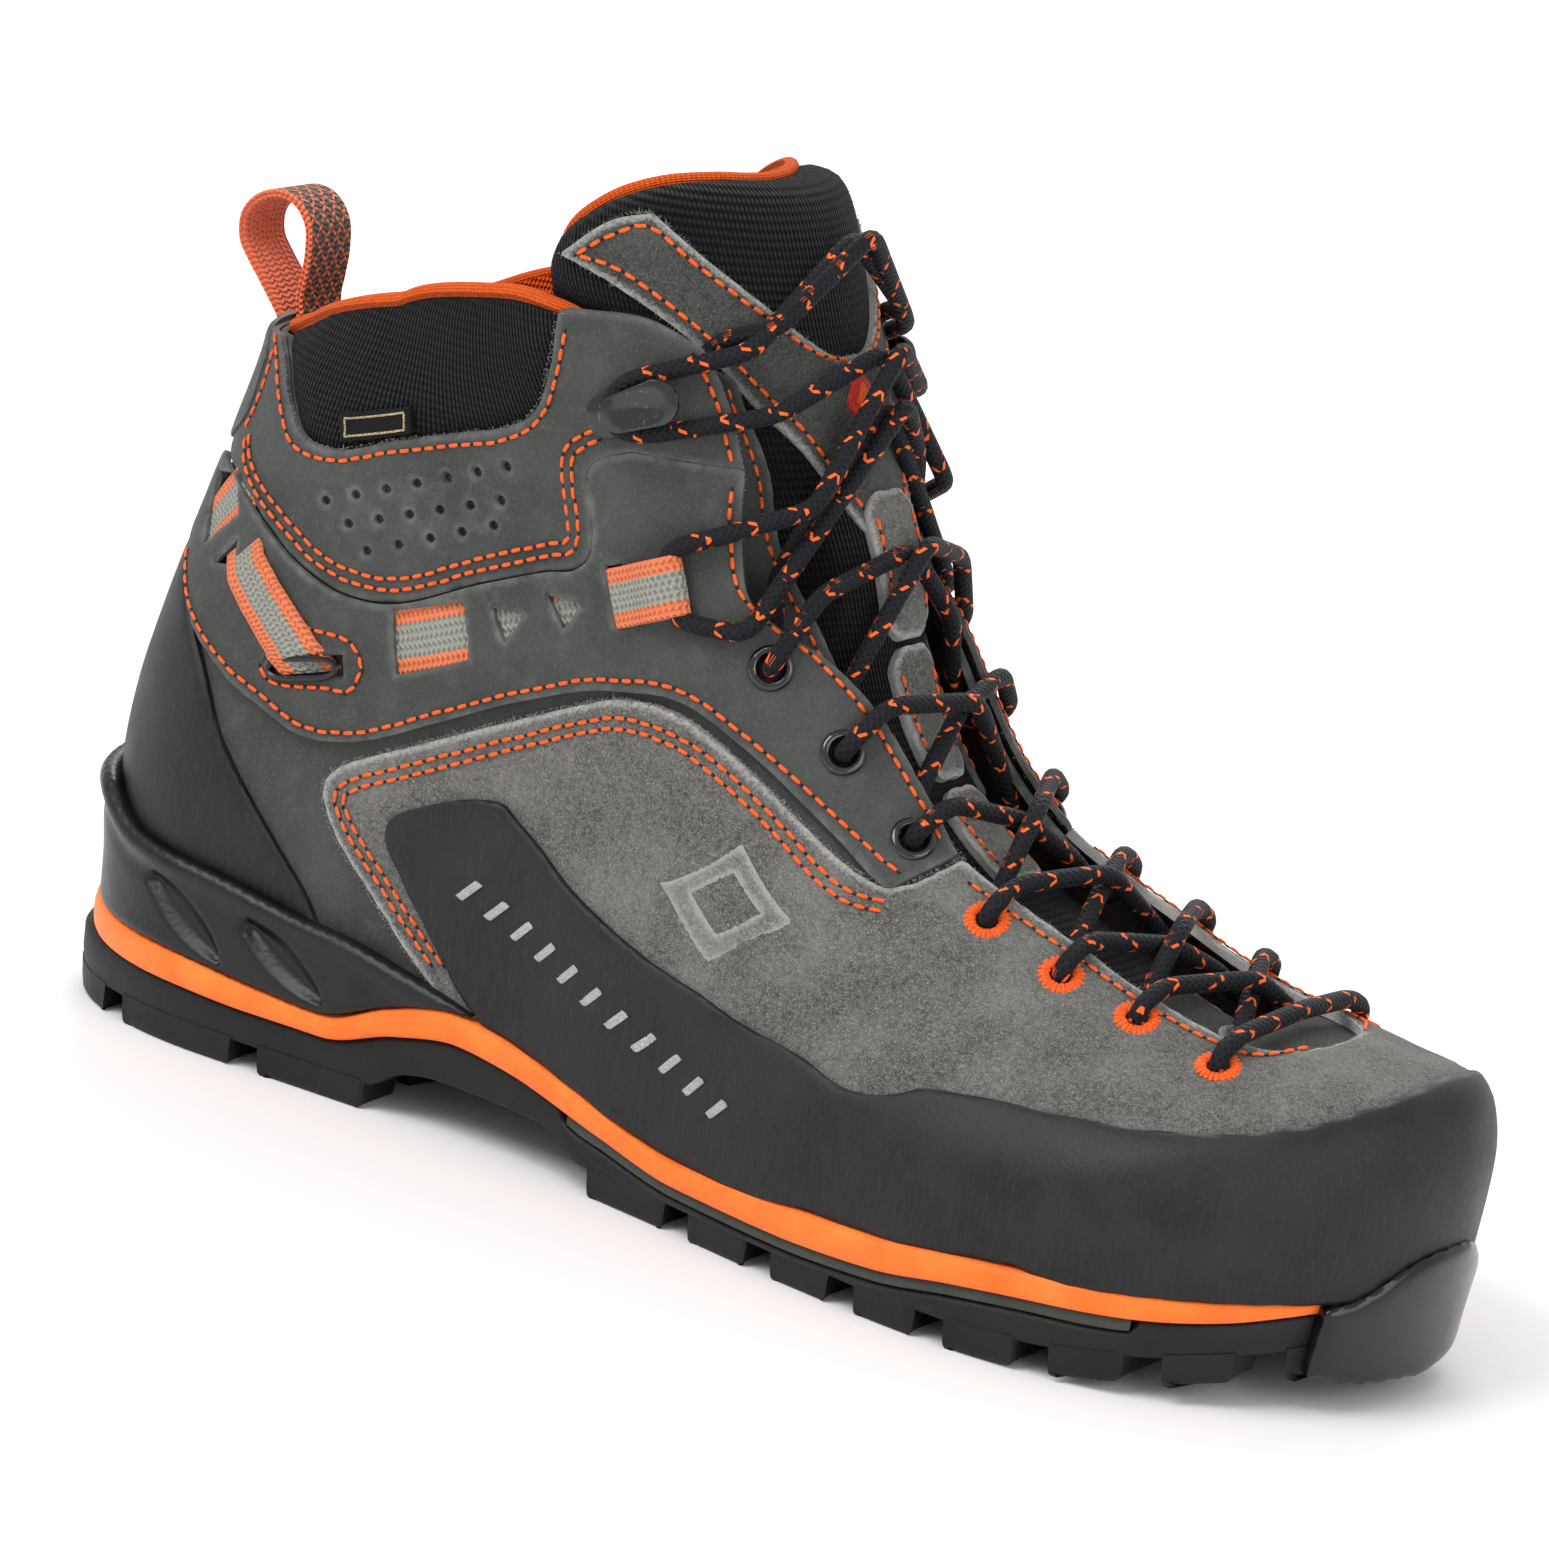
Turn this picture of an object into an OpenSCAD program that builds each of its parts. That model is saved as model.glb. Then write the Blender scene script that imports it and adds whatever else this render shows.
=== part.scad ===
// Mid-cut hiking boot, right foot. Toe towards +X, outer side towards -Y, ground at z = 0.

/* [Sole] */
// height of the midsole core under the heel
core_z = 25.5; // [24:0.5:28]
// thickness of the insole board
board_t = 2; // [1:0.5:3]
// thickness of the removable footbed
footbed_t = 4.5; // [3:0.5:7]

/* [Upper layers, distance from the leather's outer face] */
// inner face of the lining
lining_in = -5; // [-6:0.1:-4]
// outer face of the lining
lining_out = -3.7; // [-4:0.1:-3]
// inner face of the leather
leather_in = -1.6; // [-2:0.1:-1]
// outer face of the suede
suede_out = 1.6; // [1:0.1:2]
// outer face of the nubuck overlay
overlay_out = 2.6; // [2:0.1:3]
// outer face of the rubber rand
rand_out = 3.4; // [3:0.1:4]
// outer face of the heel stabiliser
cup_out = 5; // [4:0.1:6]

/* [Throat and lacing] */
// half width of the throat between the two eyelet rows
throat = 17; // [14:0.5:20]
// radius of the lace
lace_r = 1.8; // [1.5:0.1:2.2]
// hole radius of the eyelets
eyelet_r = 2.3; // [2:0.1:2.6]

/* [Hidden] */

// slice level, rear x, front x, length of the rear rounding, length of the front rounding
form = [
    [-55, -140, 143.5, 34, 56],
    [-35, -140, 146, 34, 56],
    [-20, -140, 147, 34, 55],
    [-11, -140, 145.5, 34, 54],
    [-5, -140, 142, 34, 54],
    [2, -140.5, 131, 34, 54],
    [9, -141, 119.5, 34, 56],
    [17, -141.5, 106.5, 34, 58],
    [27, -142, 93, 34, 60],
    [38, -143, 80, 36, 60],
    [50, -143.5, 66, 36, 58],
    [62, -142.5, 53, 36, 52],
    [74, -140.5, 43, 36, 46],
    [88, -137, 34, 35, 44],
    [103, -132, 26, 36, 46],
    [120, -127.5, 18, 38, 50],
    [135, -123.5, 10, 40, 50],
    [150, -120.5, 3, 42, 50],
    [165, -119, -3, 42, 50],
    [180, -118, -9, 42, 50],
    [196, -117, -15, 42, 50]
];
// positions along the boot of the half widths below
stations = [-150, -115, -75, -35, 5, 45, 75, 100, 150];
// height, half widths of the outer side
outer_side = [
    [12, [36, 37, 37, 37, 42, 49, 52, 51, 47]],
    [28, [36, 36, 36, 36, 42, 49, 52, 51, 47]],
    [46, [37, 37, 36, 35, 41, 47, 49, 49, 46]],
    [66, [36, 36, 35, 34, 38, 43, 45, 44, 42]],
    [90, [32, 33, 34, 34, 36, 38, 38, 38, 38]],
    [120, [32, 33, 34, 35, 36, 36, 36, 36, 36]],
    [150, [33, 36, 38, 38, 38, 38, 38, 38, 38]],
    [200, [33, 39, 42, 42, 42, 42, 42, 42, 42]]
];
// height, half widths of the inner side
inner_side = [
    [12, [36, 36, 32, 30, 37, 47, 49, 48, 43]],
    [28, [36, 36, 32, 30, 37, 47, 49, 48, 43]],
    [46, [37, 36, 32, 31, 37, 46, 48, 48, 43]],
    [66, [36, 35, 32, 32, 36, 42, 44, 43, 40]],
    [90, [32, 33, 33, 33, 35, 37, 37, 37, 37]],
    [120, [32, 33, 34, 35, 36, 36, 36, 36, 36]],
    [150, [33, 36, 38, 38, 38, 38, 38, 38, 38]],
    [200, [33, 39, 42, 42, 42, 42, 42, 42, 42]]
];
levels = [for (r = form) r[0]];
last_row = len(levels) - 1;
per_side = 16;
ring_n = 2 * per_side;

// top line of the midsole band, and the same line of its bottom, in side view
band_top = [[-152, 20.5], [-130, 20], [-111, 19], [-88, 17], [-72, 16.4], [-58, 21.6], [-44, 25], [-35, 24],
    [-12, 19.6], [15, 14], [40, 15], [62, 16], [81, 18], [94, 19], [120, 20], [139, 21], [156, 21]];
band_low = [[-152, 14], [-126, 13], [-106, 12.6], [-89, 12], [-72, 12], [-56, 16.6], [-42, 19], [-31, 18],
    [-4, 12.6], [15, 9.4], [41, 9], [63, 10], [81, 12.6], [95, 14], [115, 15], [129, 16.6], [139, 18.6]];
core_top = [[139, 23], [100, 20.5], [60, 18.6], [20, 20.4], [0, 22.6], [-40, core_z], [-150, core_z]];
tread_low = [[-152, 2], [-144, 0], [75, 0], [95, 0.6], [115, 2.6], [135, 5.8], [152, 9.6]];

outsole_plan = [[-150, 0], [-148.5, -12], [-143, -23], [-134, -31.5], [-121, -37], [-107, -39.5],
    [-75, -39], [-35, -39], [5, -44.5], [45, -51.5], [75, -54.5], [100, -52.7], [117, -47], [127, -40],
    [135, -31], [139, -25.6], [142.5, -18.6], [146, -10], [147, 0], [146, 9], [142.5, 17], [139, 23.4],
    [135, 28.6], [125, 37.5], [112, 44.5], [98, 49], [75, 51], [45, 49], [5, 39.5], [-35, 32.5],
    [-75, 34.5], [-105, 38.7], [-121, 37], [-134, 31.5], [-143, 23], [-148.5, 12]];
band_plan = [[-148, 0], [-146.5, -12], [-141, -23], [-133, -31.5], [-121, -38], [-107, -41], [-75, -40.6],
    [-35, -40.6], [5, -46], [45, -53], [75, -56], [100, -54.2], [117, -48.5], [128, -41], [136, -32],
    [138.6, -28.5], [138.6, 26], [136, 29.5], [126, 39], [112, 46], [98, 50.5], [75, 52.7], [45, 50.7],
    [5, 41], [-35, 34], [-75, 36], [-105, 40.2], [-121, 38], [-133, 31.5], [-141, 23], [-146.5, 12]];
inside_plan = [[-135.4, 0], [-133.6, -9], [-128.6, -18], [-120.6, -25], [-110, -29.4], [-75, -29.6],
    [-35, -29.4], [5, -35], [45, -41.6], [75, -44.6], [98, -43], [113, -37.6], [124, -30], [132, -20.6],
    [137, -10], [138.6, 0], [137, 9], [132, 18.4], [123, 27.6], [111, 34], [96, 39.4], [75, 41.2],
    [45, 39.2], [5, 30.4], [-35, 23.8], [-75, 25.6], [-110, 28.6], [-120.6, 25], [-128.6, 18], [-133.6, 9]];
tread_x = [[-152, -128], [-122, -93], [-87, -62], [-7, 13], [19, 34], [40, 54], [60, 74], [80, 95],
    [101, 114], [120, 130], [136, 150]];

// eyelets: x, z and which kind of ring (0 stitched, 1 metal)
eyelets = [[111, 55, 0], [92, 58.4, 0], [76, 62.4, 0], [59, 68, 0], [40, 78, 1], [24, 91, 1], [9, 104, 1]];
hook_at = [-22, 147];
loop_at = [-14, 114.5];
pull_pivot = [-124.5, 0, 139];

function mix(a, b, k) = a + (b - a) * k;
function rise(x) = x < 0 ? 0 : x < 40 ? x * x / 160 : 0.5 * (x - 20);
function pick(h, k) = lookup(h, [for (r = form) [r[0], r[k]]]);
function bay(x) = max([for (j = [0 : 7]) if (x >= stations[j] || j == 0) j]);
function ease(k) = k * k * (3 - 2 * k);
function wide(x, z, s) = let (
    tab = s < 0 ? outer_side : inner_side,
    j = bay(x),
    k = ease((x - stations[j]) / (stations[j + 1] - stations[j])),
    lo = lookup(z, [for (r = tab) [r[0], r[1][j]]]),
    hi = lookup(z, [for (r = tab) [r[0], r[1][j + 1]]])
) mix(lo, hi, k);
function rounded(k) = sqrt(max(0, 1 - pow(max(0, k), 2.2)));
function spot(t, h, s) = let (
    xr = pick(h, 1), xf = pick(h, 2), lr = pick(h, 3), lf = pick(h, 4),
    x = t < 0.25 ? xr + lr * (1 - cos(360 * t))
        : t > 0.5625 ? xf - lf + lf * sin((t - 0.5625) / 0.4375 * 90)
        : mix(xr + lr, xf - lf, (t - 0.25) / 0.3125),
    z = h + rise(x),
    a = t < 0.25 ? cos(360 * t) : 0,
    b = t > 0.5625 ? sin((t - 0.5625) / 0.4375 * 90) : 0
) [x, s * wide(x, z, s) * rounded(a) * rounded(b), z];
// half width of the finished form at any point of the side view
function half(x, z, s) = let (
    h = z - rise(x), xr = pick(h, 1), xf = pick(h, 2), lr = pick(h, 3), lf = pick(h, 4)
) wide(x, z, s) * rounded((xr + lr - x) / lr) * rounded((x - xf + lf) / lf);

mesh = [for (h = levels) [for (c = [0 : ring_n - 1])
    c <= per_side ? spot(c / per_side, h, -1) : spot((ring_n - c) / per_side, h, 1)]];
function cell(r, c) = mesh[r][(c + 2 * ring_n) % ring_n];
function unit(v) = v / norm(v);
function normal(r, c) = let (
    u = cell(r, c + 1) - cell(r, c - 1),
    v = cell(min(r + 1, last_row), c) - cell(max(r - 1, 0), c)
) unit(cross(u, v));
normals = [for (r = [0 : last_row]) [for (c = [0 : ring_n - 1]) normal(r, c)]];
function face_at(r, c, d) = cell(r, c) + d * normals[r][(c + 2 * ring_n) % ring_n];

// a closed skin between two distances from the form, over some rows and columns of its grid
module skin(r0, r1, c0, c1, d0, d1) {
    nr = r1 - r0 + 1;
    nc = c1 - c0 + 1;
    n = nr * nc;
    points = concat(
        [for (r = [r0 : r1]) for (c = [c0 : c1]) face_at(r, c, d1)],
        [for (r = [r0 : r1]) for (c = [c0 : c1]) face_at(r, c, d0)]
    );
    outside = [for (i = [0 : nr - 2]) for (j = [0 : nc - 2]) let (p = i * nc + j)
        each [[p, p + nc, p + nc + 1], [p, p + nc + 1, p + 1]]];
    inside = [for (i = [0 : nr - 2]) for (j = [0 : nc - 2]) let (p = n + i * nc + j)
        each [[p, p + nc + 1, p + nc], [p, p + 1, p + nc + 1]]];
    ends = [for (i = [0 : nr - 2]) let (p = i * nc, q = p + nc - 1)
        each [[p, p + n, p + n + nc], [p, p + n + nc, p + nc],
        [q, q + nc, q + n + nc], [q, q + n + nc, q + n]]];
    rims = [for (j = [0 : nc - 2]) let (p = j, q = (nr - 1) * nc + j)
        each [[p, p + 1, p + n + 1], [p, p + n + 1, p + n],
        [q, q + n, q + n + 1], [q, q + n + 1, q + 1]]];
    polyhedron(points = points, faces = concat(outside, inside, ends, rims));
}

// a prism through the boot from side to side, drawn in side view
module side_prism(pts) {
    rotate([90, 0, 0])
        linear_extrude(height = 170, center = true)
            polygon(pts);
}

module plan_prism(pts, z0, z1) {
    translate([0, 0, z0])
        linear_extrude(height = z1 - z0)
            polygon(pts);
}

// keeps what stands above the midsole band between x0 and x1, up to a line drawn from the toe back
module above_band(pts, x0 = -200, x1 = 200) {
    intersection() {
        children();
        side_prism(concat([for (p = band_top) if (p[0] > x0 && p[0] < x1) [p[0], p[1] + 0.1]], pts));
    }
}

// stands a child on the form at a side-view point, its +Z along the outward normal, distance d out
module on_form(x, z, s, d) {
    y = s * half(x, z, s);
    n = unit([
        (half(x - 1, z, s) - half(x + 1, z, s)) / 2,
        s,
        (half(x, z - 1, s) - half(x, z + 1, s)) / 2
    ]);
    translate([x, y, z] + d * n)
        rotate([0, acos(n[2]), atan2(n[1], n[0])])
            children();
}

// the frame of the lace hook, +X towards its open end
module on_hook(s) {
    on_form(hook_at[0], hook_at[1], s, 2.2)
        rotate([0, 0, s < 0 ? 116 : -116])
            children();
}

module throat_slot(w, x0) {
    translate([x0, -w, 40])
        cube([160, 2 * w, 180]);
}

// ---------------------------------------------------------------- sole
module outsole() {
    color([0.13, 0.13, 0.14])
        union() {
            intersection() {
                plan_prism(outsole_plan, 0, 30);
                side_prism(concat(
                    [[-152, 5], [-62, 5], [-55, 9], [-46, 10.4], [-22, 10], [-8, 5], [75, 5], [95, 5.6],
                    [115, 7.6], [135, 10.8], [152, 14.6], [152, 20.8], [139.2, 20.8], [138.9, 18.4],
                    [129, 16.4], [116, 14.8], [115, 12.4], [95, 11.4], [81, 10], [63, 7.4], [41, 6.4],
                    [15, 6.8], [-4, 9.8], [-14, 12]],
                    [[-16, 14.9], [-31, 17.9], [-42, 18.9], [-56, 16.5], [-72, 11.9], [-89, 11.9],
                    [-106, 12.5], [-126, 12.9], [-152, 13.9]]
                ));
            }
            intersection() {
                plan_prism(outsole_plan, 0, 20);
                side_prism(concat(tread_low, [[152, 15], [135, 11.2], [115, 8], [95, 6], [75, 5.4],
                    [-152, 5.4]]));
                union() {
                    for (t = tread_x) {
                        translate([t[0], -60, -1])
                            cube([t[1] - t[0], 34, 20]);
                        translate([t[0], 24, -1])
                            cube([t[1] - t[0], 36, 20]);
                        if (t[0] < 0 && t[1] > 0) {
                            translate([t[0] + 1, -19, -1])
                                cube([t[1] - t[0] - 2, 37, 20]);
                        } else {
                            translate([t[0] + 3, -19, -1])
                                cube([t[1] - t[0] - 4, 16, 20]);
                            translate([t[0] + 1, 2, -1])
                                cube([t[1] - t[0] - 4, 16, 20]);
                        }
                    }
                }
            }
        }
}

module forefoot_wedge() {
    color([0.20, 0.22, 0.19])
        intersection() {
            plan_prism(outsole_plan, 0, 30);
            side_prism([[-15.8, 14.8], [-13.8, 12.1], [-4, 9.9], [15, 6.9], [41, 6.5], [63, 7.5],
                [81, 10.1], [95, 11.5], [114.8, 12.5], [114.8, 14.8], [95, 13.9], [81, 12.5], [63, 9.9],
                [41, 8.9], [15, 9.3], [-4, 12.5]]);
        }
}

module midsole() {
    color([1.0, 0.42, 0.08])
        union() {
            intersection() {
                plan_prism(band_plan, 0, 40);
                side_prism(concat(
                    [for (p = band_low) [p[0], p[1]]],
                    [[139, 21], [120, 20], [94, 19], [81, 18], [62, 16], [40, 15], [15, 14], [-12, 19.6],
                    [-35, 24], [-44, 25], [-58, 21.6], [-72, 16.4], [-88, 17], [-111, 19], [-130, 20],
                    [-152, 20.5]]
                ));
            }
            intersection() {
                plan_prism(inside_plan, 10, 40);
                side_prism(concat([[-150, 15], [-62.5, 15], [-56, 17.2], [-42, 20], [0, 14], [50, 10],
                    [90, 15], [138, 19.6]],
                    core_top));
            }
        }
}

module heel_stabiliser() {
    color([0.11, 0.11, 0.12])
        difference() {
            union() {
                above_band([[-38, 24.8], [-39, 26.5], [-51, 28.5], [-68, 32], [-82, 33.5], [-104, 37],
                    [-121, 39.6], [-128, 43], [-134, 46], [-156, 47]], -200, -40)
                    skin(6, 12, -7, 7, 2.2, cup_out);
                intersection() {
                    skin(6, 12, -6, 6, cup_out - 0.5, cup_out + 1);
                    side_prism([[-60, 27.4], [-68, 29], [-82, 30.5], [-104, 34], [-121, 36.6], [-128, 40],
                        [-134, 43], [-156, 44], [-156, 47], [-134, 46], [-128, 43], [-121, 39.6],
                        [-104, 37], [-82, 33.5], [-68, 32], [-60, 30.4]]);
                }
            }
            intersection() {
                skin(6, 12, -6, 6, cup_out - 1, cup_out + 3);
                union() {
                    side_prism([[-116, 31], [-112, 30], [-97, 20], [-93, 19], [-99, 24], [-109, 31]]);
                    side_prism([[-93, 28], [-89, 27], [-73, 18.4], [-69, 18.2], [-76, 22.6], [-86, 28]]);
                }
            }
        }
}

module toe_bumper() {
    color([0.06, 0.06, 0.07])
        intersection() {
            skin(0, 4, 10, 22, rand_out + 0.15, rand_out + 2);
            side_prism([[139.2, 8], [139.4, 20], [141, 21.6], [145, 25], [150, 28.6], [160, 30], [160, 4],
                [149, 4], [143, 6]]);
        }
}

module insole_board() {
    color([0.75, 0.68, 0.52])
        intersection() {
            plan_prism(inside_plan, 10, 40);
            side_prism([[-150, core_z + 0.1], [-40, core_z + 0.1], [0, 22.7], [20, 20.5], [60, 18.7],
                [100, 20.6], [140, 23.2], [140, 23.2 + board_t], [100, 20.6 + board_t],
                [60, 18.7 + board_t], [20, 20.5 + board_t], [0, 22.7 + board_t],
                [-40, core_z + 0.1 + board_t], [-150, core_z + 0.1 + board_t]]);
        }
}

module footbed() {
    color([0.30, 0.31, 0.32])
        intersection() {
            translate([-0.2, 0.2, 0])
                plan_prism([for (p = inside_plan) [p[0] * 0.985, p[1] * 0.975]], 10, 60);
            side_prism([[-150, core_z + 0.5 + board_t], [-40, core_z + 0.5 + board_t], [0, 23.1 + board_t],
                [20, 20.9 + board_t], [60, 19.1 + board_t], [100, 21 + board_t], [140, 23.7 + board_t],
                [140, 21 + board_t + footbed_t], [100, 20.4 + board_t + footbed_t],
                [60, 19 + board_t + footbed_t], [20, 21 + board_t + footbed_t],
                [0, 23.2 + board_t + footbed_t], [-40, core_z + 1 + board_t + footbed_t],
                [-120, core_z + 1 + board_t + footbed_t], [-150, core_z + 4 + board_t + footbed_t]]);
        }
}

// ---------------------------------------------------------------- inner layers
module lining() {
    color([0.86, 0.34, 0.10])
        difference() {
            above_band([[156, 90], [20, 170], [-14, 160.5], [-25, 163.5], [-40, 163], [-59, 160.4],
                [-76, 154.8], [-95, 148.2], [-104, 143.6], [-112, 140.4], [-126, 138], [-156, 137.6]])
                union() {
                    skin(0, last_row - 2, 0, per_side, lining_in, lining_out);
                    skin(0, last_row - 2, per_side, ring_n, lining_in, lining_out);
                }
            translate([-30, -throat - 15, 40])
                cube([146, 2 * throat + 30, 180]);
            side_prism([[-12, 112], [-16, 138], [-22, 150], [-28, 158], [-28, 175], [60, 175], [60, 104],
                [0, 104]]);
        }
}

module heel_counter() {
    color([0.55, 0.50, 0.42])
        above_band([[-62, 24], [-70, 40], [-90, 62], [-110, 74], [-156, 80]])
            skin(6, 13, -6, 6, lining_out + 0.15, leather_in - 0.15);
}

module toe_puff() {
    color([0.55, 0.50, 0.42])
        above_band([[160, 40], [150, 80], [122, 80], [118, 40], [114, 22]])
            skin(0, 8, 9, 23, lining_out + 0.15, leather_in - 0.15);
}

// ---------------------------------------------------------------- upper
module quarter(s) {
    color([0.27, 0.28, 0.27])
        difference() {
            intersection() {
                if (s < 0) {
                    skin(6, 18, 0, 15, leather_in, 0);
                } else {
                    skin(6, 18, 17, ring_n, leather_in, 0);
                }
                side_prism([[-156, 20.6], [-130, 20.2], [-111, 19.2], [-88, 17.2], [-72, 16.6], [-58, 21.8],
                    [-44, 25.2], [-38, 26], [-48, 38], [-60, 48], [-68, 58], [-62, 62], [-40, 72],
                    [-16, 84], [-2, 83], [14, 74], [32, 64], [50, 64], [66, 70], [64, 90], [30, 108],
                    [4, 113.4], [-2, 138], [-8, 150], [-13, 159], [-25, 162.4], [-40, 162], [-42, 144],
                    [-51, 135], [-74, 127.5], [-90, 121.5], [-99, 122], [-106.5, 134], [-110, 138.4],
                    [-126, 136.2], [-156, 136]]);
            }
            throat_slot(throat, 2);
            for (e = eyelets) {
                on_form(e[0], e[1], s, -6)
                    cylinder(r = eyelet_r + 1, h = 12, $fn = 24);
            }
            on_hook(s)
                translate([-6.4, 0, -9])
                    cylinder(r = 2, h = 14, $fn = 24);
        }
}

module cuff(s) {
    color([0.30, 0.31, 0.30])
        difference() {
            intersection() {
                if (s < 0) {
                    skin(14, 18, 0, 15, 0.1, 1.3);
                } else {
                    skin(14, 18, 17, ring_n, 0.1, 1.3);
                }
                side_prism([[-156, 112], [-118, 112], [-97, 100], [-90, 97], [-82, 95.5], [-72, 96.3],
                    [-53, 105.3], [-33, 113.3], [-28.5, 117], [-29.5, 124], [-31.5, 132], [-29, 135.3],
                    [-22, 138], [-2, 138], [-8, 150], [-13, 159], [-25, 162.4], [-40, 162], [-42, 144],
                    [-51, 135], [-74, 127.5], [-90, 121.5], [-99, 122], [-106.5, 134], [-110, 138.4],
                    [-126, 136.2], [-156, 136]]);
            }
            for (k = [0 : 6]) {
                on_form(-90 + 6.8 * k, 112 + 2.8 * k, s, -1)
                    cylinder(r = 1.1, h = 4, $fn = 16);
            }
            for (k = [0 : 5]) {
                on_form(-84 + 6.8 * k, 109 + 2.6 * k, s, -1)
                    cylinder(r = 1.1, h = 4, $fn = 16);
            }
            for (k = [0 : 4]) {
                on_form(-79 + 7 * k, 105 + 3 * k, s, -1)
                    cylinder(r = 1.1, h = 4, $fn = 16);
            }
            on_hook(s)
                translate([-6.4, 0, -9])
                    cylinder(r = 2, h = 14, $fn = 24);
        }
}

module overlay(s) {
    color([0.25, 0.26, 0.25])
        difference() {
            intersection() {
                if (s < 0) {
                    skin(10, 17, 1, 15, 1.25, overlay_out);
                } else {
                    skin(10, 17, 17, ring_n - 1, 1.25, overlay_out);
                }
                side_prism([[-126, 90], [-118, 80], [-111, 76], [-99, 70], [-87, 66], [-75, 68], [-41, 85],
                    [-20, 93], [-3, 95], [5, 91.3], [18, 84], [31, 75.5], [41, 69.5], [47, 73], [64, 90],
                    [30, 107.6], [4, 113], [-2, 137.6], [-22, 137.6], [-29, 134.9], [-31.1, 132],
                    [-29.1, 124], [-28.1, 117], [-33, 112.9], [-53, 104.9], [-72, 95.9], [-82, 95.1],
                    [-90, 96.6], [-97, 99.6], [-118, 111.6], [-129, 111.6]]);
            }
            throat_slot(throat, 2);
            // window over the lock strap, the two triangles in front of it and the one at the heel
            side_prism([[-70.5, 95.5], [-55, 101.6], [-52, 91], [-68, 83.6]]);
            side_prism([[-48.5, 102], [-41, 102.4], [-45, 95.6]]);
            side_prism([[-36.5, 107.4], [-28.4, 107.6], [-32, 102]]);
            side_prism([[-114.5, 93], [-109, 99.5], [-109, 94.4]]);
            side_prism([[-126, 107], [-113, 112], [-110, 104], [-121, 94]]);
            // slot where the strap dives under, and where the lace loop comes out
            side_prism([[-97.6, 79.4], [-80.4, 84.6], [-79.6, 80], [-96, 75.6]]);
            side_prism([[-24.5, 116.5], [-20.5, 118], [-16, 106.5], [-20, 105]]);
            for (e = eyelets) {
                if (e[2] == 1) {
                    on_form(e[0], e[1], s, -3)
                        cylinder(r = eyelet_r + 1, h = 12, $fn = 24);
                    on_form(e[0], e[1], s, overlay_out - 0.5)
                        cylinder(r = 4.3, h = 4, $fn = 24);
                }
            }
        }
}

module vamp() {
    color([0.46, 0.46, 0.44])
        difference() {
            above_band([[160, 60], [150, 90], [64, 90], [52, 80], [48, 73.6], [41, 70], [35, 71.6],
                [17, 82], [3, 90], [-4, 93], [-16, 93], [-26, 89], [-47, 79], [-71, 67], [-79, 62],
                [-80, 59], [-77, 52], [-67, 42], [-59, 35], [-50, 28], [-46, 25.4]], -45)
                union() {
                    skin(0, 14, 4, per_side, 0.1, suede_out);
                    skin(0, 14, per_side, ring_n - 4, 0.1, suede_out);
                }
            plan_prism([[20, -throat], [112, -throat], [120, -11], [122, 0], [120, 11], [112, throat],
                [20, throat]],
                40, 120);
            for (e = eyelets) {
                if (e[2] == 0) {
                    for (s = [-1, 1]) {
                        on_form(e[0], e[1], s, -3)
                            cylinder(r = eyelet_r + 1, h = 12, $fn = 24);
                        on_form(e[0], e[1], s, suede_out - 0.5)
                            cylinder(r = 4.3, h = 4, $fn = 24);
                    }
                }
            }
        }
}

module toe_insert() {
    color([0.22, 0.23, 0.22])
        intersection() {
            union() {
                skin(2, 9, 10, per_side, -1.4, -0.1);
                skin(2, 9, per_side, 22, -1.4, -0.1);
            }
            plan_prism([[116, -17], [120, -14], [126, -8], [128, 0], [126, 8], [120, 14], [116, 17],
                [114.6, 10], [113, 0], [114.6, -10]], 40, 90);
        }
}

module rand() {
    color([0.12, 0.12, 0.13])
        above_band([[160, 52], [141, 57.6], [138, 54], [130, 50], [116, 47], [97, 44.4], [72, 43], [65, 42],
            [54, 38.4], [50, 39], [39, 42], [21, 43.4], [1, 48], [-10, 51], [-22, 55], [-30, 60],
            [-39, 64.4], [-42, 66], [-47, 65.4], [-57, 61], [-64, 56.4], [-65, 54], [-58, 45], [-46, 32],
            [-39, 27], [-36, 25]], -36)
            union() {
                skin(0, 12, 4, per_side, suede_out + 0.15, rand_out);
                skin(0, 12, per_side, ring_n - 4, suede_out + 0.15, rand_out);
            }
}

module heel_rand() {
    color([0.12, 0.12, 0.13])
        above_band([[-70, 22], [-80, 35], [-91, 46], [-100, 55], [-111, 71], [-119, 79.6], [-127, 90],
            [-130, 97], [-156, 97]], -200, -71)
            skin(6, 14, -5, 5, 0.15, 2);
}

module back_strip() {
    color([0.30, 0.31, 0.30])
        intersection() {
            skin(13, 17, -3, 3, 1.5, 2.8);
            side_prism([[-156, 112.4], [-127, 112.4], [-119, 118], [-115, 128], [-112, 136.2],
                [-156, 135.6]]);
        }
}

module collar(s) {
    color([0.07, 0.07, 0.07])
        intersection() {
            if (s < 0) {
                skin(14, 19, 1, 10, lining_out + 0.15, leather_in - 0.1);
            } else {
                skin(14, 19, 22, ring_n - 1, lining_out + 0.15, leather_in - 0.1);
            }
            side_prism([[-112, 118], [-96, 112], [-74, 118], [-50, 126], [-36, 136], [-34, 160.6],
                [-44, 160.8], [-59, 159.2], [-76, 153.6], [-95, 147], [-104, 142.4], [-110, 139.2],
                [-118, 136.2], [-119, 128]]);
        }
}

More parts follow.
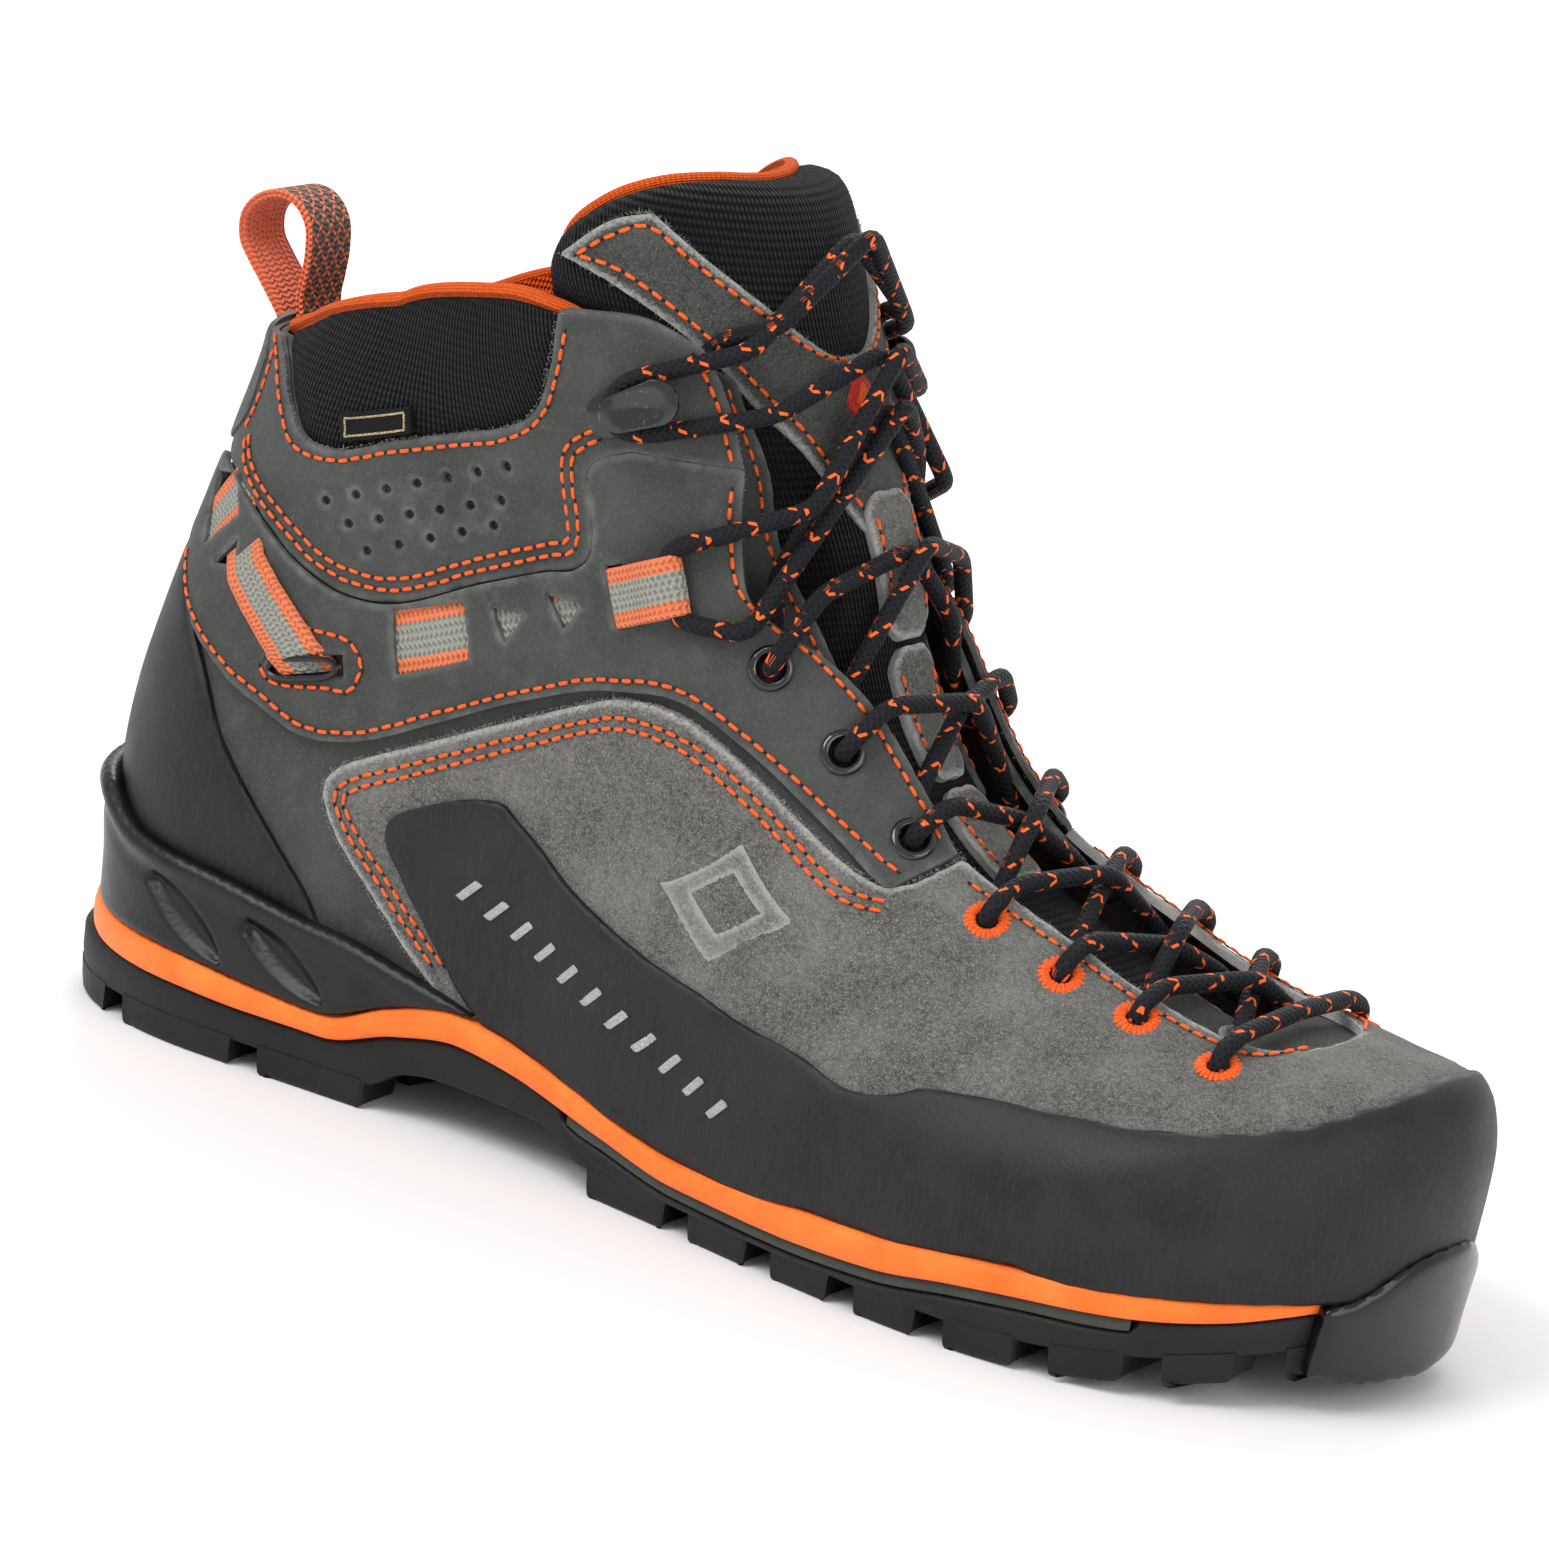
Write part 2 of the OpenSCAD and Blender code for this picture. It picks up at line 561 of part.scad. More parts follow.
module collar_bulge(s) {
    color([0.07, 0.07, 0.07])
        intersection() {
            if (s < 0) {
                skin(14, 19, 1, 10, leather_in, 1.2);
            } else {
                skin(14, 19, 22, ring_n - 1, leather_in, 1.2);
            }
            side_prism([[-105.8, 134.2], [-98.6, 122.5], [-90, 122], [-74.2, 128], [-51.4, 135.5],
                [-42.5, 144.4], [-40.8, 160.8], [-59, 159.2], [-76, 153.6], [-95, 147], [-104, 142.4],
                [-109.2, 139.4]]);
        }
}

module collar_edge() {
    color([1.0, 0.38, 0.10])
        intersection() {
            union() {
                skin(15, 19, 0, 10, lining_out + 0.15, leather_in + 0.6);
                skin(15, 19, 22, ring_n, lining_out + 0.15, leather_in + 0.6);
            }
            side_prism([[-156, 136.4], [-126, 136.6], [-110, 139.6], [-104, 142.8], [-95, 147.4],
                [-76, 154], [-59, 159.6], [-44, 161.2], [-42, 163.8], [-59, 162.8], [-76, 157.4],
                [-95, 150.8], [-104, 146.2], [-110, 143], [-126, 140.4], [-156, 140]]);
        }
}

module side_label() {
    color([0.03, 0.03, 0.03])
        intersection() {
            skin(14, 17, 2, 10, 1.45, 1.9);
            side_prism([[-88, 123.2], [-70, 129.6], [-70, 136], [-88, 131]]);
        }
}

// ---------------------------------------------------------------- lock strap, eyelets, hooks
module lock_strap(s) {
    color([0.55, 0.56, 0.52])
        union() {
            intersection() {
                if (s < 0) {
                    skin(10, 15, 2, 13, 0.15, 1.1);
                } else {
                    skin(10, 15, 19, ring_n - 2, 0.15, 1.1);
                }
                side_prism([[-92, 76], [-80, 80], [-68, 84], [-52, 91.4], [-20, 105.4], [-24, 116],
                    [-55, 101.2], [-70.2, 95.2], [-88, 90]]);
            }
            intersection() {
                if (s < 0) {
                    skin(11, 15, 1, 8, overlay_out + 0.15, overlay_out + 1.1);
                } else {
                    skin(11, 15, ring_n - 8, ring_n - 1, overlay_out + 0.15, overlay_out + 1.1);
                }
                side_prism([[-102, 96.6], [-108.6, 89.4], [-98.6, 80.4], [-83.6, 84.8], [-84, 86]]);
            }
            intersection() {
                if (s < 0) {
                    skin(11, 15, 0, 6, 0.15, 1.1);
                } else {
                    skin(11, 15, ring_n - 6, ring_n, 0.15, 1.1);
                }
                side_prism([[-130, 97.4], [-119, 94], [-109, 86], [-104, 96], [-114.4, 108],
                    [-130, 111.4]]);
            }
        }
}

module slot_ring(s) {
    color([0.05, 0.05, 0.05])
        on_form(-88.6, 79.6, s, overlay_out + 0.5)
            rotate([0, 0, s < 0 ? 15 : -15])
                difference() {
                    linear_extrude(height = 1.2)
                        union() {
                            square([3.6, 14], center = true);
                            translate([0, 7])
                                circle(r = 1.8, $fn = 24);
                            translate([0, -7])
                                circle(r = 1.8, $fn = 24);
                        }
                    translate([0, 0, -0.5])
                        linear_extrude(height = 3)
                            square([1.6, 13], center = true);
                }
}

module lace_loop(s) {
    color([0.55, 0.56, 0.52])
        on_form(loop_at[0], loop_at[1], s, overlay_out + 0.3)
            rotate([0, 0, s < 0 ? 113 : -113])
                rotate([90, 0, 0])
                    linear_extrude(height = 11, center = true)
                        difference() {
                            polygon([[-10, 0], [4, 0], [9, 0.4], [12.6, 2.4], [12.6, 5], [10, 7.4],
                                [5, 7.4], [1, 3.6], [-2, 2.4], [-10, 1.6]]);
                            polygon([[3, 1.2], [8, 1.4], [11.4, 2.8], [11.4, 4.8], [9.4, 6.3], [5.6, 6.3],
                                [2.6, 3]]);
                        }
}

module metal_eyelets() {
    color([0.05, 0.05, 0.05])
        for (e = eyelets) {
            if (e[2] == 1) {
                for (s = [-1, 1]) {
                    on_form(e[0], e[1], s, overlay_out - 0.4)
                        difference() {
                            union() {
                                cylinder(r = 4.1, h = 1, $fn = 32);
                                translate([0, 0, -3.9])
                                    cylinder(r = eyelet_r + 0.8, h = 4, $fn = 32);
                            }
                            translate([0, 0, -5])
                                cylinder(r = eyelet_r, h = 8, $fn = 32);
                        }
                }
            }
        }
}

module stitched_eyelets() {
    color([1.0, 0.40, 0.10])
        for (e = eyelets) {
            if (e[2] == 0) {
                for (s = [-1, 1]) {
                    on_form(e[0], e[1], s, suede_out - 0.4)
                        difference() {
                            union() {
                                cylinder(r = 4.1, h = 1, $fn = 32);
                                translate([0, 0, -2.6])
                                    cylinder(r = eyelet_r + 0.8, h = 3, $fn = 32);
                            }
                            translate([0, 0, -5])
                                cylinder(r = eyelet_r, h = 8, $fn = 32);
                        }
                }
            }
        }
}

module lace_hook(s) {
    color([0.04, 0.04, 0.04])
        on_hook(s)
            union() {
                difference() {
                    linear_extrude(height = 1.2)
                        union() {
                            circle(r = 4.2, $fn = 32);
                            translate([-7, 0])
                                circle(r = 4.2, $fn = 32);
                            translate([-7, -4.2])
                                square([7, 8.4]);
                        }
                    translate([-6.4, 0, -1])
                        cylinder(r = 1.8, h = 4, $fn = 24);
                }
                translate([-0.6, 0, 1])
                    cylinder(r = 2.6, h = 4.8, $fn = 32);
                translate([0.6, 0, 5.6])
                    linear_extrude(height = 1.4)
                        union() {
                            translate([2.6, 0])
                                circle(r = 4.4, $fn = 32);
                            translate([-3.4, -4.4])
                                square([6, 8.8]);
                            translate([-3.4, 0])
                                circle(r = 4.4, $fn = 32);
                        }
            }
}

module hook_rivets() {
    color([0.45, 0.45, 0.45])
        for (s = [-1, 1]) {
            on_hook(s)
                translate([-6.4, 0, -3.4])
                    union() {
                        cylinder(r = 1.6, h = 5, $fn = 24);
                        translate([0, 0, 4.65])
                            cylinder(r = 2.3, h = 0.2, $fn = 24);
                    }
        }
}

// ---------------------------------------------------------------- tongue
module tongue() {
    color([0.06, 0.06, 0.06])
        intersection() {
            union() {
                skin(4, last_row, 11, per_side, -14, -9.6);
                skin(4, last_row, per_side, 21, -14, -9.6);
            }
            plan_prism([[114, -14], [100, -22], [40, -26], [5, -29], [-20, -32], [-55, -34], [-55, 34],
                [-20, 32], [5, 29], [40, 26], [100, 22], [114, 14]], 34, 191);
            side_prism([[120, 30], [120, 70], [40, 200], [-20, 191.4], [-36, 184], [-46, 172], [-46, 120],
                [-10, 100], [20, 60], [70, 40]]);
        }
}

module tongue_pad() {
    color([0.08, 0.08, 0.08])
        intersection() {
            union() {
                skin(11, 16, 11, per_side, -9.5, -5.4);
                skin(11, 16, per_side, 21, -9.5, -5.4);
                skin(15, last_row, 11, per_side, -9.5, -1.7);
                skin(15, last_row, per_side, 21, -9.5, -1.7);
            }
            plan_prism([[70, -7], [40, -8], [14, -8.6], [4, -15], [-20, -19.6], [-55, -25], [-55, 25],
                [-20, 19.6], [4, 15], [14, 8.6], [40, 8], [70, 7]], 60, 189);
            side_prism([[60, 66], [60, 100], [40, 200], [-20, 189.4], [-34, 182], [-44, 168], [-40, 164],
                [-20, 120], [10, 96], [40, 70]]);
        }
}

module tongue_overlay() {
    color([0.42, 0.42, 0.40])
        intersection() {
            union() {
                skin(15, last_row, 11, per_side, -1.6, -0.4);
                skin(15, last_row, per_side, 21, -1.6, -0.4);
            }
            plan_prism([[6, -12], [-4, -17], [-20, -19.6], [-55, -24], [-55, 24], [-20, 19.6], [-4, 17],
                [6, 12], [3, 0]], 100, 189);
            side_prism([[20, 138], [6, 160], [-4, 156], [-12, 162], [-24, 172], [-34, 181], [-42, 172],
                [-32, 150], [-16, 140], [0, 132]]);
        }
}

module lace_keepers() {
    color([0.44, 0.44, 0.42])
        intersection() {
            skin(8, 15, 14, 18, -5.3, -4.3);
            union() {
                for (x = [46, 30, 15]) {
                    translate([x, -9, 60])
                        cube([7, 18, 60]);
                }
            }
        }
}

module tongue_base() {
    color([0.23, 0.24, 0.23])
        intersection() {
            union() {
                skin(4, 10, 11, per_side, -9.5, -7.9);
                skin(4, 10, per_side, 21, -9.5, -7.9);
            }
            plan_prism([[106, -9], [96, -13], [74, -14], [74, 14], [96, 13], [106, 9]], 40, 80);
        }
}

module tongue_lining() {
    color([0.92, 0.36, 0.10])
        intersection() {
            union() {
                skin(9, last_row, 11, per_side, -15.2, -14.1);
                skin(9, last_row, per_side, 21, -15.2, -14.1);
            }
            plan_prism([[80, -20], [40, -25], [5, -28], [-20, -31], [-55, -33], [-55, 33], [-20, 31],
                [5, 28], [40, 25], [80, 20]], 50, 190.6);
            side_prism([[90, 50], [90, 100], [40, 200], [-20, 191], [-36, 183.6], [-45.6, 171.6],
                [-45.6, 120], [-10, 100], [30, 60]]);
        }
}

module tongue_badge() {
    color([0.90, 0.25, 0.12])
        translate([3.4, 0, 151])
            rotate([0, 66, 0])
                rotate([0, 0, 45])
                    translate([-4.6, -4.6, -0.4])
                        cube([9.2, 9.2, 1.2]);
}

// ---------------------------------------------------------------- pull loop
module pull_loop() {
    color([0.95, 0.38, 0.12])
        translate(pull_pivot)
            rotate([0, -24, 0])
                rotate([90, 0, 0])
                    linear_extrude(height = 13, center = true)
                        difference() {
                            polygon([[-5.4, 4], [-7.8, 9], [-8.8, 14.6], [-7, 19.4], [-3, 22], [3, 22],
                                [7.2, 19.2], [8.8, 14], [7.6, 8.4], [5.4, 4], [3.4, 2], [-3.4, 2]]);
                            polygon([[-3.8, 4.4], [-6.2, 9.4], [-7.2, 14.4], [-5.8, 18.2], [-2.6, 20.4],
                                [2.6, 20.4], [5.8, 18], [7.2, 14], [6, 8.8], [3.8, 4.4]]);
                        }
}

module loop_anchor() {
    color([0.10, 0.10, 0.10])
        intersection() {
            skin(13, 17, -2, 2, 3, 3.9);
            translate([-150, -6.5, 112.6])
                cube([40, 13, 22.6]);
        }
}

// ---------------------------------------------------------------- lace
function out_at(x, z, s, d) = let (
    n = unit([(half(x - 1, z, s) - half(x + 1, z, s)) / 2, s, (half(x, z - 1, s) - half(x, z + 1, s)) / 2])
) [x, s * half(x, z, s), z] + d * n;
// middle line of the instep, and a point at distance d above it
function crest(x) = [x, 0, rise(x) + lookup(-x, [for (r = [3 : last_row]) [-form[r][2], form[r][0]]])];
function crest_at(x, d) = let (t = unit(crest(x - 2) - crest(x + 2))) crest(x) + d * [t[2], 0, -t[0]];
function top_of(i) = eyelets[i][2] == 1 ? overlay_out : suede_out;
function hook_round(s, a) = let (u = 5.3 * cos(a) - 0.5, v = 5.3 * sin(a) - 0.3)
    out_at(hook_at[0] + u, hook_at[1] + v, s, 5.95);
// a point of the curved instep at any distance y from the middle line, d above it
function instep(x, y, d) = let (
    h = crest(x)[2] - rise(x), a = crest_at(x, 0), n = crest_at(x, 1) - a,
    drop = instep_drop(x, abs(y))
) [x, y, a[2]] + [0, 0, -drop] + d * n;
// how much lower the form is at distance y from its middle line
function instep_drop(x, y) = crest(x)[2] - top_z(x, y, crest(x)[2] - 40, crest(x)[2], 12);
function top_z(x, y, lo, hi, n) = n == 0 ? (lo + hi) / 2 : let (m = (lo + hi) / 2)
    half(x, m, -1) > y ? top_z(x, y, m, hi, n - 1) : top_z(x, y, lo, m, n - 1);

// one strand: at every station it comes over the flap, goes down through the eyelet,
// back under the flap and across
function strand(s0, lift) = concat(
    [for (i = [0 : 6]) let (s = i % 2 == 0 ? s0 : -s0, e = eyelets[i], x = e[0],
    w = abs(out_at(x, e[1], s, 0)[1])) each [
        instep(x, s * (w - 5), top_of(i) + 3.6),
        out_at(x, e[1], s, top_of(i) + 2.7),
        out_at(x, e[1], s, -3.9),
        instep(x - 1.5, s * (w - 6), -4.4),
        instep(x - 3.5, s * 13, i == 6 ? 2.6 : i == 5 ? 0 : -2.4),
        i < 6 ? crest_at((x + eyelets[i + 1][0]) / 2, 1 + lift) : crest_at(4, 4.6 + lift)
    ]],
    [
        out_at(6, 112, -s0, 5.4),
        out_at(-3, 119, -s0, 5),
        out_at(-3, 124, -s0, 5),
        instep(3, -s0 * 22, 7),
        crest_at(0, 6 + lift),
        instep(-6, s0 * 24, 6),
        hook_round(s0, -60),
        hook_round(s0, -120),
        hook_round(s0, 180),
        hook_round(s0, 120),
        instep(-12, s0 * 26, 6),
        crest_at(-8, 4 + lift),
        instep(-10, -s0 * 21, 4.5),
        instep(-14, -s0 * 26.5, 0.5)
    ]
);
function flipped(v) = [for (i = [len(v) - 1 : -1 : 0]) v[i]];
lace_route = concat(flipped(strand(-1, 0)), [crest_at(112, 3.6)], strand(1, 4));

// a round tube swept along a route
module tube(route, r, sides) {
    n = len(route);
    along = [for (i = [0 : n - 1]) unit(route[min(i + 1, n - 1)] - route[max(i - 1, 0)])];
    first = unit(cross(along[0], [0.3, 0.2, 0.9]));
    across = [for (i = 0, v = first; i < n; i = i + 1,
        v = i < n ? unit(v - (v * along[i]) * along[i]) : v) v];
    rings = [for (i = [0 : n - 1]) for (k = [0 : sides - 1]) let (
        u = unit(across[i] - (across[i] * along[i]) * along[i]),
        w = cross(along[i], u),
        a = 360 * k / sides
    ) route[i] + r * (cos(a) * u + sin(a) * w)];
    walls = [for (i = [0 : n - 2]) for (k = [0 : sides - 1]) let (
        p = i * sides + k,
        q = i * sides + (k + 1) % sides
    ) each [[p, p + sides, q], [q, p + sides, q + sides]]];
    caps = [
        [for (k = [0 : sides - 1]) k],
        [for (k = [sides - 1 : -1 : 0]) (n - 1) * sides + k]
    ];
    polyhedron(points = rings, faces = concat(walls, caps));
}

module lace() {
    color([0.06, 0.06, 0.09])
        tube(lace_route, lace_r, 8);
}

module lace_tips() {
    color([0.04, 0.04, 0.04])
        for (s = [-1, 1]) {
            tube([[-14, s * 22.8, 157.3], [-17, s * 25.6, 152], [-19, s * 27, 146]], 1.5, 8);
        }
}

outsole();
forefoot_wedge();
midsole();
heel_stabiliser();
toe_bumper();
insole_board();
footbed();
lining();
heel_counter();
toe_puff();
quarter(-1);  // quarter_outer
quarter(1);  // quarter_inner
cuff(-1);  // cuff_outer
cuff(1);  // cuff_inner
overlay(-1);  // overlay_outer
overlay(1);  // overlay_inner
vamp();
toe_insert();
rand();
heel_rand();
back_strip();
collar(-1);  // collar_foam_outer
collar(1);  // collar_foam_inner
collar_bulge(-1);  // collar_mesh_outer
collar_bulge(1);  // collar_mesh_inner
collar_edge();
side_label();
lock_strap(-1);  // lock_strap_outer
lock_strap(1);  // lock_strap_inner
slot_ring(-1);  // slot_ring_outer
slot_ring(1);  // slot_ring_inner
lace_loop(-1);  // lace_loop_outer
lace_loop(1);  // lace_loop_inner
metal_eyelets();
stitched_eyelets();
lace_hook(-1);  // lace_hook_outer
lace_hook(1);  // lace_hook_inner
hook_rivets();
tongue();
tongue_pad();
tongue_overlay();
lace_keepers();
tongue_base();
tongue_lining();
tongue_badge();
pull_loop();
loop_anchor();
lace();
lace_tips();
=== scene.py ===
import math
import bpy
import numpy as np
from mathutils import Matrix, Vector, kdtree
from mathutils.geometry import delaunay_2d_cdt


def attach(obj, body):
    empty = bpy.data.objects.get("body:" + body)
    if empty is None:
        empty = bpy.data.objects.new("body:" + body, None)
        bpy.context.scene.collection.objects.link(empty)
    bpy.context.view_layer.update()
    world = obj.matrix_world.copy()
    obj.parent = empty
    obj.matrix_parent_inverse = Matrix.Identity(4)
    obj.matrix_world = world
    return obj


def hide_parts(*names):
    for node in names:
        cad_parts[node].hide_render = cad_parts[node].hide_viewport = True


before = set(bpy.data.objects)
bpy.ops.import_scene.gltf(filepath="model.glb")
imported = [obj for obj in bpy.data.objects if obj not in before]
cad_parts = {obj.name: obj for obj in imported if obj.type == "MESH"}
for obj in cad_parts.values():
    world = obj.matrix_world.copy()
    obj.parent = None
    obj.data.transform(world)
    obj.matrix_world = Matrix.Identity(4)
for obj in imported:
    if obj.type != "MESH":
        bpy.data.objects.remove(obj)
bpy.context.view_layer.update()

MM = 0.001
RNG = np.random.default_rng(11)
scene = bpy.context.scene
scene.view_settings.view_transform = "Standard"

# ------------------------------------------------------------------ camera
azimuth, elevation, roll = math.radians(32), math.radians(15), math.radians(8.12)
back = Vector((math.sin(azimuth) * math.cos(elevation), -math.cos(azimuth) * math.cos(elevation),
               math.sin(elevation)))
right = Vector((math.cos(azimuth), math.sin(azimuth), 0))
upward = back.cross(right)
cam_x = right * math.cos(roll) + upward * math.sin(roll)
cam_y = upward * math.cos(roll) - right * math.sin(roll)
camera_data = bpy.data.cameras.new("camera")
camera_data.sensor_width = 36
camera_data.lens = 187.44
camera_data.shift_x = -0.0166
camera_data.shift_y = -0.0092
camera = bpy.data.objects.new("camera", camera_data)
scene.collection.objects.link(camera)
turn = Matrix((cam_x, cam_y, back)).transposed().to_4x4()
camera.matrix_world = Matrix.Translation(Vector((0, 0, 0.08)) + back * 1.5) @ turn
scene.camera = camera


# ------------------------------------------------------------------ curves and tables
def pchip(xs, ys):
    """A smooth curve through a table that never overshoots it; outside, it keeps its end values."""
    xs = np.asarray(xs, float)
    ys = np.asarray(ys, float)
    ys = ys[:, None] if ys.ndim == 1 else ys
    step = np.diff(xs)[:, None]
    slope = np.diff(ys, axis=0) / step
    tangent = np.zeros_like(ys)
    w1, w2 = 2 * step[1:] + step[:-1], step[1:] + 2 * step[:-1]
    same = slope[1:] * slope[:-1] > 0
    safe0, safe1 = np.where(same, slope[:-1], 1), np.where(same, slope[1:], 1)
    tangent[1:-1] = np.where(same, (w1 + w2) / (w1 / safe0 + w2 / safe1), 0)
    tangent[0], tangent[-1] = slope[0], slope[-1]

    def at(q):
        q = np.clip(np.asarray(q, float), xs[0], xs[-1])
        i = np.clip(np.searchsorted(xs, q) - 1, 0, len(xs) - 2)
        s = step[i, 0]
        t = ((q - xs[i]) / s)[..., None]
        s = s[..., None]
        return ((2 * t**3 - 3 * t**2 + 1) * ys[i] + (t**3 - 2 * t**2 + t) * s * tangent[i]
                + (3 * t**2 - 2 * t**3) * ys[i + 1] + (t**3 - t**2) * s * tangent[i + 1])

    return at


def line(points):
    """y over x as a smooth curve, from a list of (x, y)."""
    p = np.array(points, float)
    f = pchip(p[:, 0], p[:, 1])
    return lambda q: f(q)[..., 0]


def spline(points, closed=False, per=12):
    """Dense centripetal-like Catmull-Rom curve through points."""
    p = np.asarray(points, float)
    if len(p) < 3 and not closed:
        t = np.linspace(0, 1, per + 1)[:, None]
        return p[0] * (1 - t) + p[-1] * t
    if closed:
        q = np.vstack([p[-1], p, p[0], p[1]])
    else:
        q = np.vstack([2 * p[0] - p[1], p, 2 * p[-1] - p[-2]])
    out = []
    for i in range(1, len(q) - 2):
        a, b, c, d = q[i - 1], q[i], q[i + 1], q[i + 2]
        la, lb, lc = (max(np.linalg.norm(v), 1e-6) ** 0.5 for v in (b - a, c - b, d - c))
        m1 = (c - b) + lb * ((b - a) / la - (c - a) / (la + lb))
        m2 = (c - b) + lb * ((d - c) / lc - (d - b) / (lb + lc))
        t = np.linspace(0, 1, per, endpoint=False)[:, None]
        out.append((2 * t**3 - 3 * t**2 + 1) * b + (t**3 - 2 * t**2 + t) * m1
                   + (3 * t**2 - 2 * t**3) * c + (t**3 - t**2) * m2)
    out = np.vstack(out)
    return out if closed else np.vstack([out, p[-1]])


def run_length(p):
    """Distance along a polyline at each of its points."""
    return np.r_[0, np.cumsum(np.linalg.norm(np.diff(p, axis=0), axis=1))]


def along_run(s, d, table):
    """The row of a table at distance s, where d is the distance of each row."""
    return np.array([np.interp(s, d, column) for column in table.T])


def resample(p, step, closed=False):
    """The same curve with points at even distances."""
    p = np.asarray(p, float)
    q = np.vstack([p, p[:1]]) if closed else p
    d = run_length(q)
    n = max(int(round(d[-1] / step)), 3 if closed else 1)
    s = np.linspace(0, d[-1], n + 1)
    r = np.stack([np.interp(s, d, q[:, k]) for k in range(q.shape[1])], axis=1)
    return r[:-1] if closed else r


def unit(v):
    """The same directions with length 1."""
    return v / np.maximum(np.linalg.norm(v, axis=-1, keepdims=True), 1e-12)


# ------------------------------------------------------------------ the form: outer face of the leather
# all in millimetres: slice level, rear x, front x, length of the rear rounding, length of the front rounding
FORM = np.array([
    (-75, -140, 143.5, 34, 56), (-55, -140, 143.5, 34, 56), (-35, -140, 146, 34, 56),
                 (-20, -140, 147, 34, 55),
    (-11, -140, 145.5, 34, 54), (-5, -140, 142, 34, 54), (2, -140.5, 131, 34, 54), (9, -141, 119.5, 34, 56),
    (17, -141.5, 106.5, 34, 58), (27, -142, 93, 34, 60), (38, -143, 80, 36, 60), (50, -143.5, 66, 36, 58),
    (62, -142.5, 53, 36, 52), (74, -140.5, 43, 36, 46), (88, -137, 34, 35, 44), (103, -132, 26, 36, 46),
    (120, -127.5, 18, 38, 50), (135, -123.5, 10, 40, 50), (150, -120.5, 3, 42, 50), (165, -119, -3, 42, 50),
    (180, -118, -9, 42, 50), (200, -117, -17, 42, 50)])
STATIONS = np.array([-150, -115, -75, -35, 5, 45, 75, 100, 150.0])
OUTER = {12: (36, 37, 37, 37, 42, 49, 52, 51, 47), 28: (36, 36, 36, 36, 42, 49, 52, 51, 47),
         46: (37, 37, 36, 35, 41, 47, 49, 49, 46), 66: (36, 36, 35, 34, 38, 43, 45, 44, 42),
         90: (32, 33, 34, 34, 36, 38, 38, 38, 38), 120: (32, 33, 34, 35, 36, 36, 36, 36, 36),
         150: (33, 36, 38, 38, 38, 38, 38, 38, 38), 200: (33, 39, 42, 42, 42, 42, 42, 42, 42)}
INNER = {12: (36, 36, 32, 30, 37, 47, 49, 48, 43), 28: (36, 36, 32, 30, 37, 47, 49, 48, 43),
         46: (37, 36, 32, 31, 37, 46, 48, 48, 43), 66: (36, 35, 32, 32, 36, 42, 44, 43, 40),
         90: (32, 33, 33, 33, 35, 37, 37, 37, 37), 120: (32, 33, 34, 35, 36, 36, 36, 36, 36),
         150: (33, 36, 38, 38, 38, 38, 38, 38, 38), 200: (33, 39, 42, 42, 42, 42, 42, 42, 42)}
row_at = pchip(FORM[:, 0], FORM[:, 1:])
outer_at = pchip(list(OUTER), list(OUTER.values()))
inner_at = pchip(list(INNER), list(INNER.values()))
# shares of the side where the rear rounding ends and the front rounding starts
REAR_T, FRONT_T = 0.25, 0.5625
# one unit of u in millimetres, roughly
U_MM = 300


def rise(x):
    """How much higher than its level a slice lies at x, as the slices climb towards the toe."""
    return np.where(x < 0, 0, np.where(x < 40, x * x / 160, 0.5 * (x - 20)))


def rounded(k):
    """Share of the full width at share k of a rounding."""
    return np.sqrt(np.maximum(1 - np.maximum(k, 0) ** 2.2, 0))


def wide(x, z, side):
    """Half width before the roundings, from the tables."""
    i = np.clip(np.searchsorted(STATIONS, x) - 1, 0, 7)
    k = np.clip((x - STATIONS[i]) / (STATIONS[i + 1] - STATIONS[i]), 0, 1)
    k = k * k * (3 - 2 * k)
    tables = np.where(np.asarray(side)[..., None] < 0, outer_at(z), inner_at(z))
    lo = np.take_along_axis(tables, i[..., None], -1)[..., 0]
    hi = np.take_along_axis(tables, i[..., None] + 1, -1)[..., 0]
    return lo * (1 - k) + hi * k


def half(x, z, side):
    """Half width of the form at a point of the side view."""
    x, z = np.asarray(x, float), np.asarray(z, float)
    xr, xf, lr, lf = np.moveaxis(row_at(z - rise(x)), -1, 0)
    return wide(x, z, np.full(x.shape, side)) * rounded((xr + lr - x) / lr) * rounded((x - xf + lf) / lf)


def base(u, h):
    """A point of the form. h is the level of the slice. u is 0 at the heel and 1 at the toe along the outer
    side, and goes on to 2 along the inner side. Under 0 it runs from the heel along the inner side."""
    u, h = np.asarray(u, float), np.asarray(h, float)
    side = np.where((u < 0) | (u > 1), 1.0, -1.0)
    t = np.where(u < 0, -u, np.where(u > 1, 2 - u, u))
    xr, xf, lr, lf = np.moveaxis(row_at(h), -1, 0)
    turn_r = np.cos(2 * np.pi * t)
    turn_f = np.sin((t - FRONT_T) / (1 - FRONT_T) * np.pi / 2)
    k = (t - REAR_T) / (FRONT_T - REAR_T)
    x = np.where(t < REAR_T, xr + lr * (1 - turn_r),
                 np.where(t > FRONT_T, xf - lf + lf * turn_f, (xr + lr) * (1 - k) + (xf - lf) * k))
    z = h + rise(x)
    y = side * wide(x, z, side) * rounded(np.where(t < REAR_T, turn_r, 0)) * rounded(np.where(t > FRONT_T,
                                                                                              turn_f, 0))
    return np.stack([x, y, z], -1)


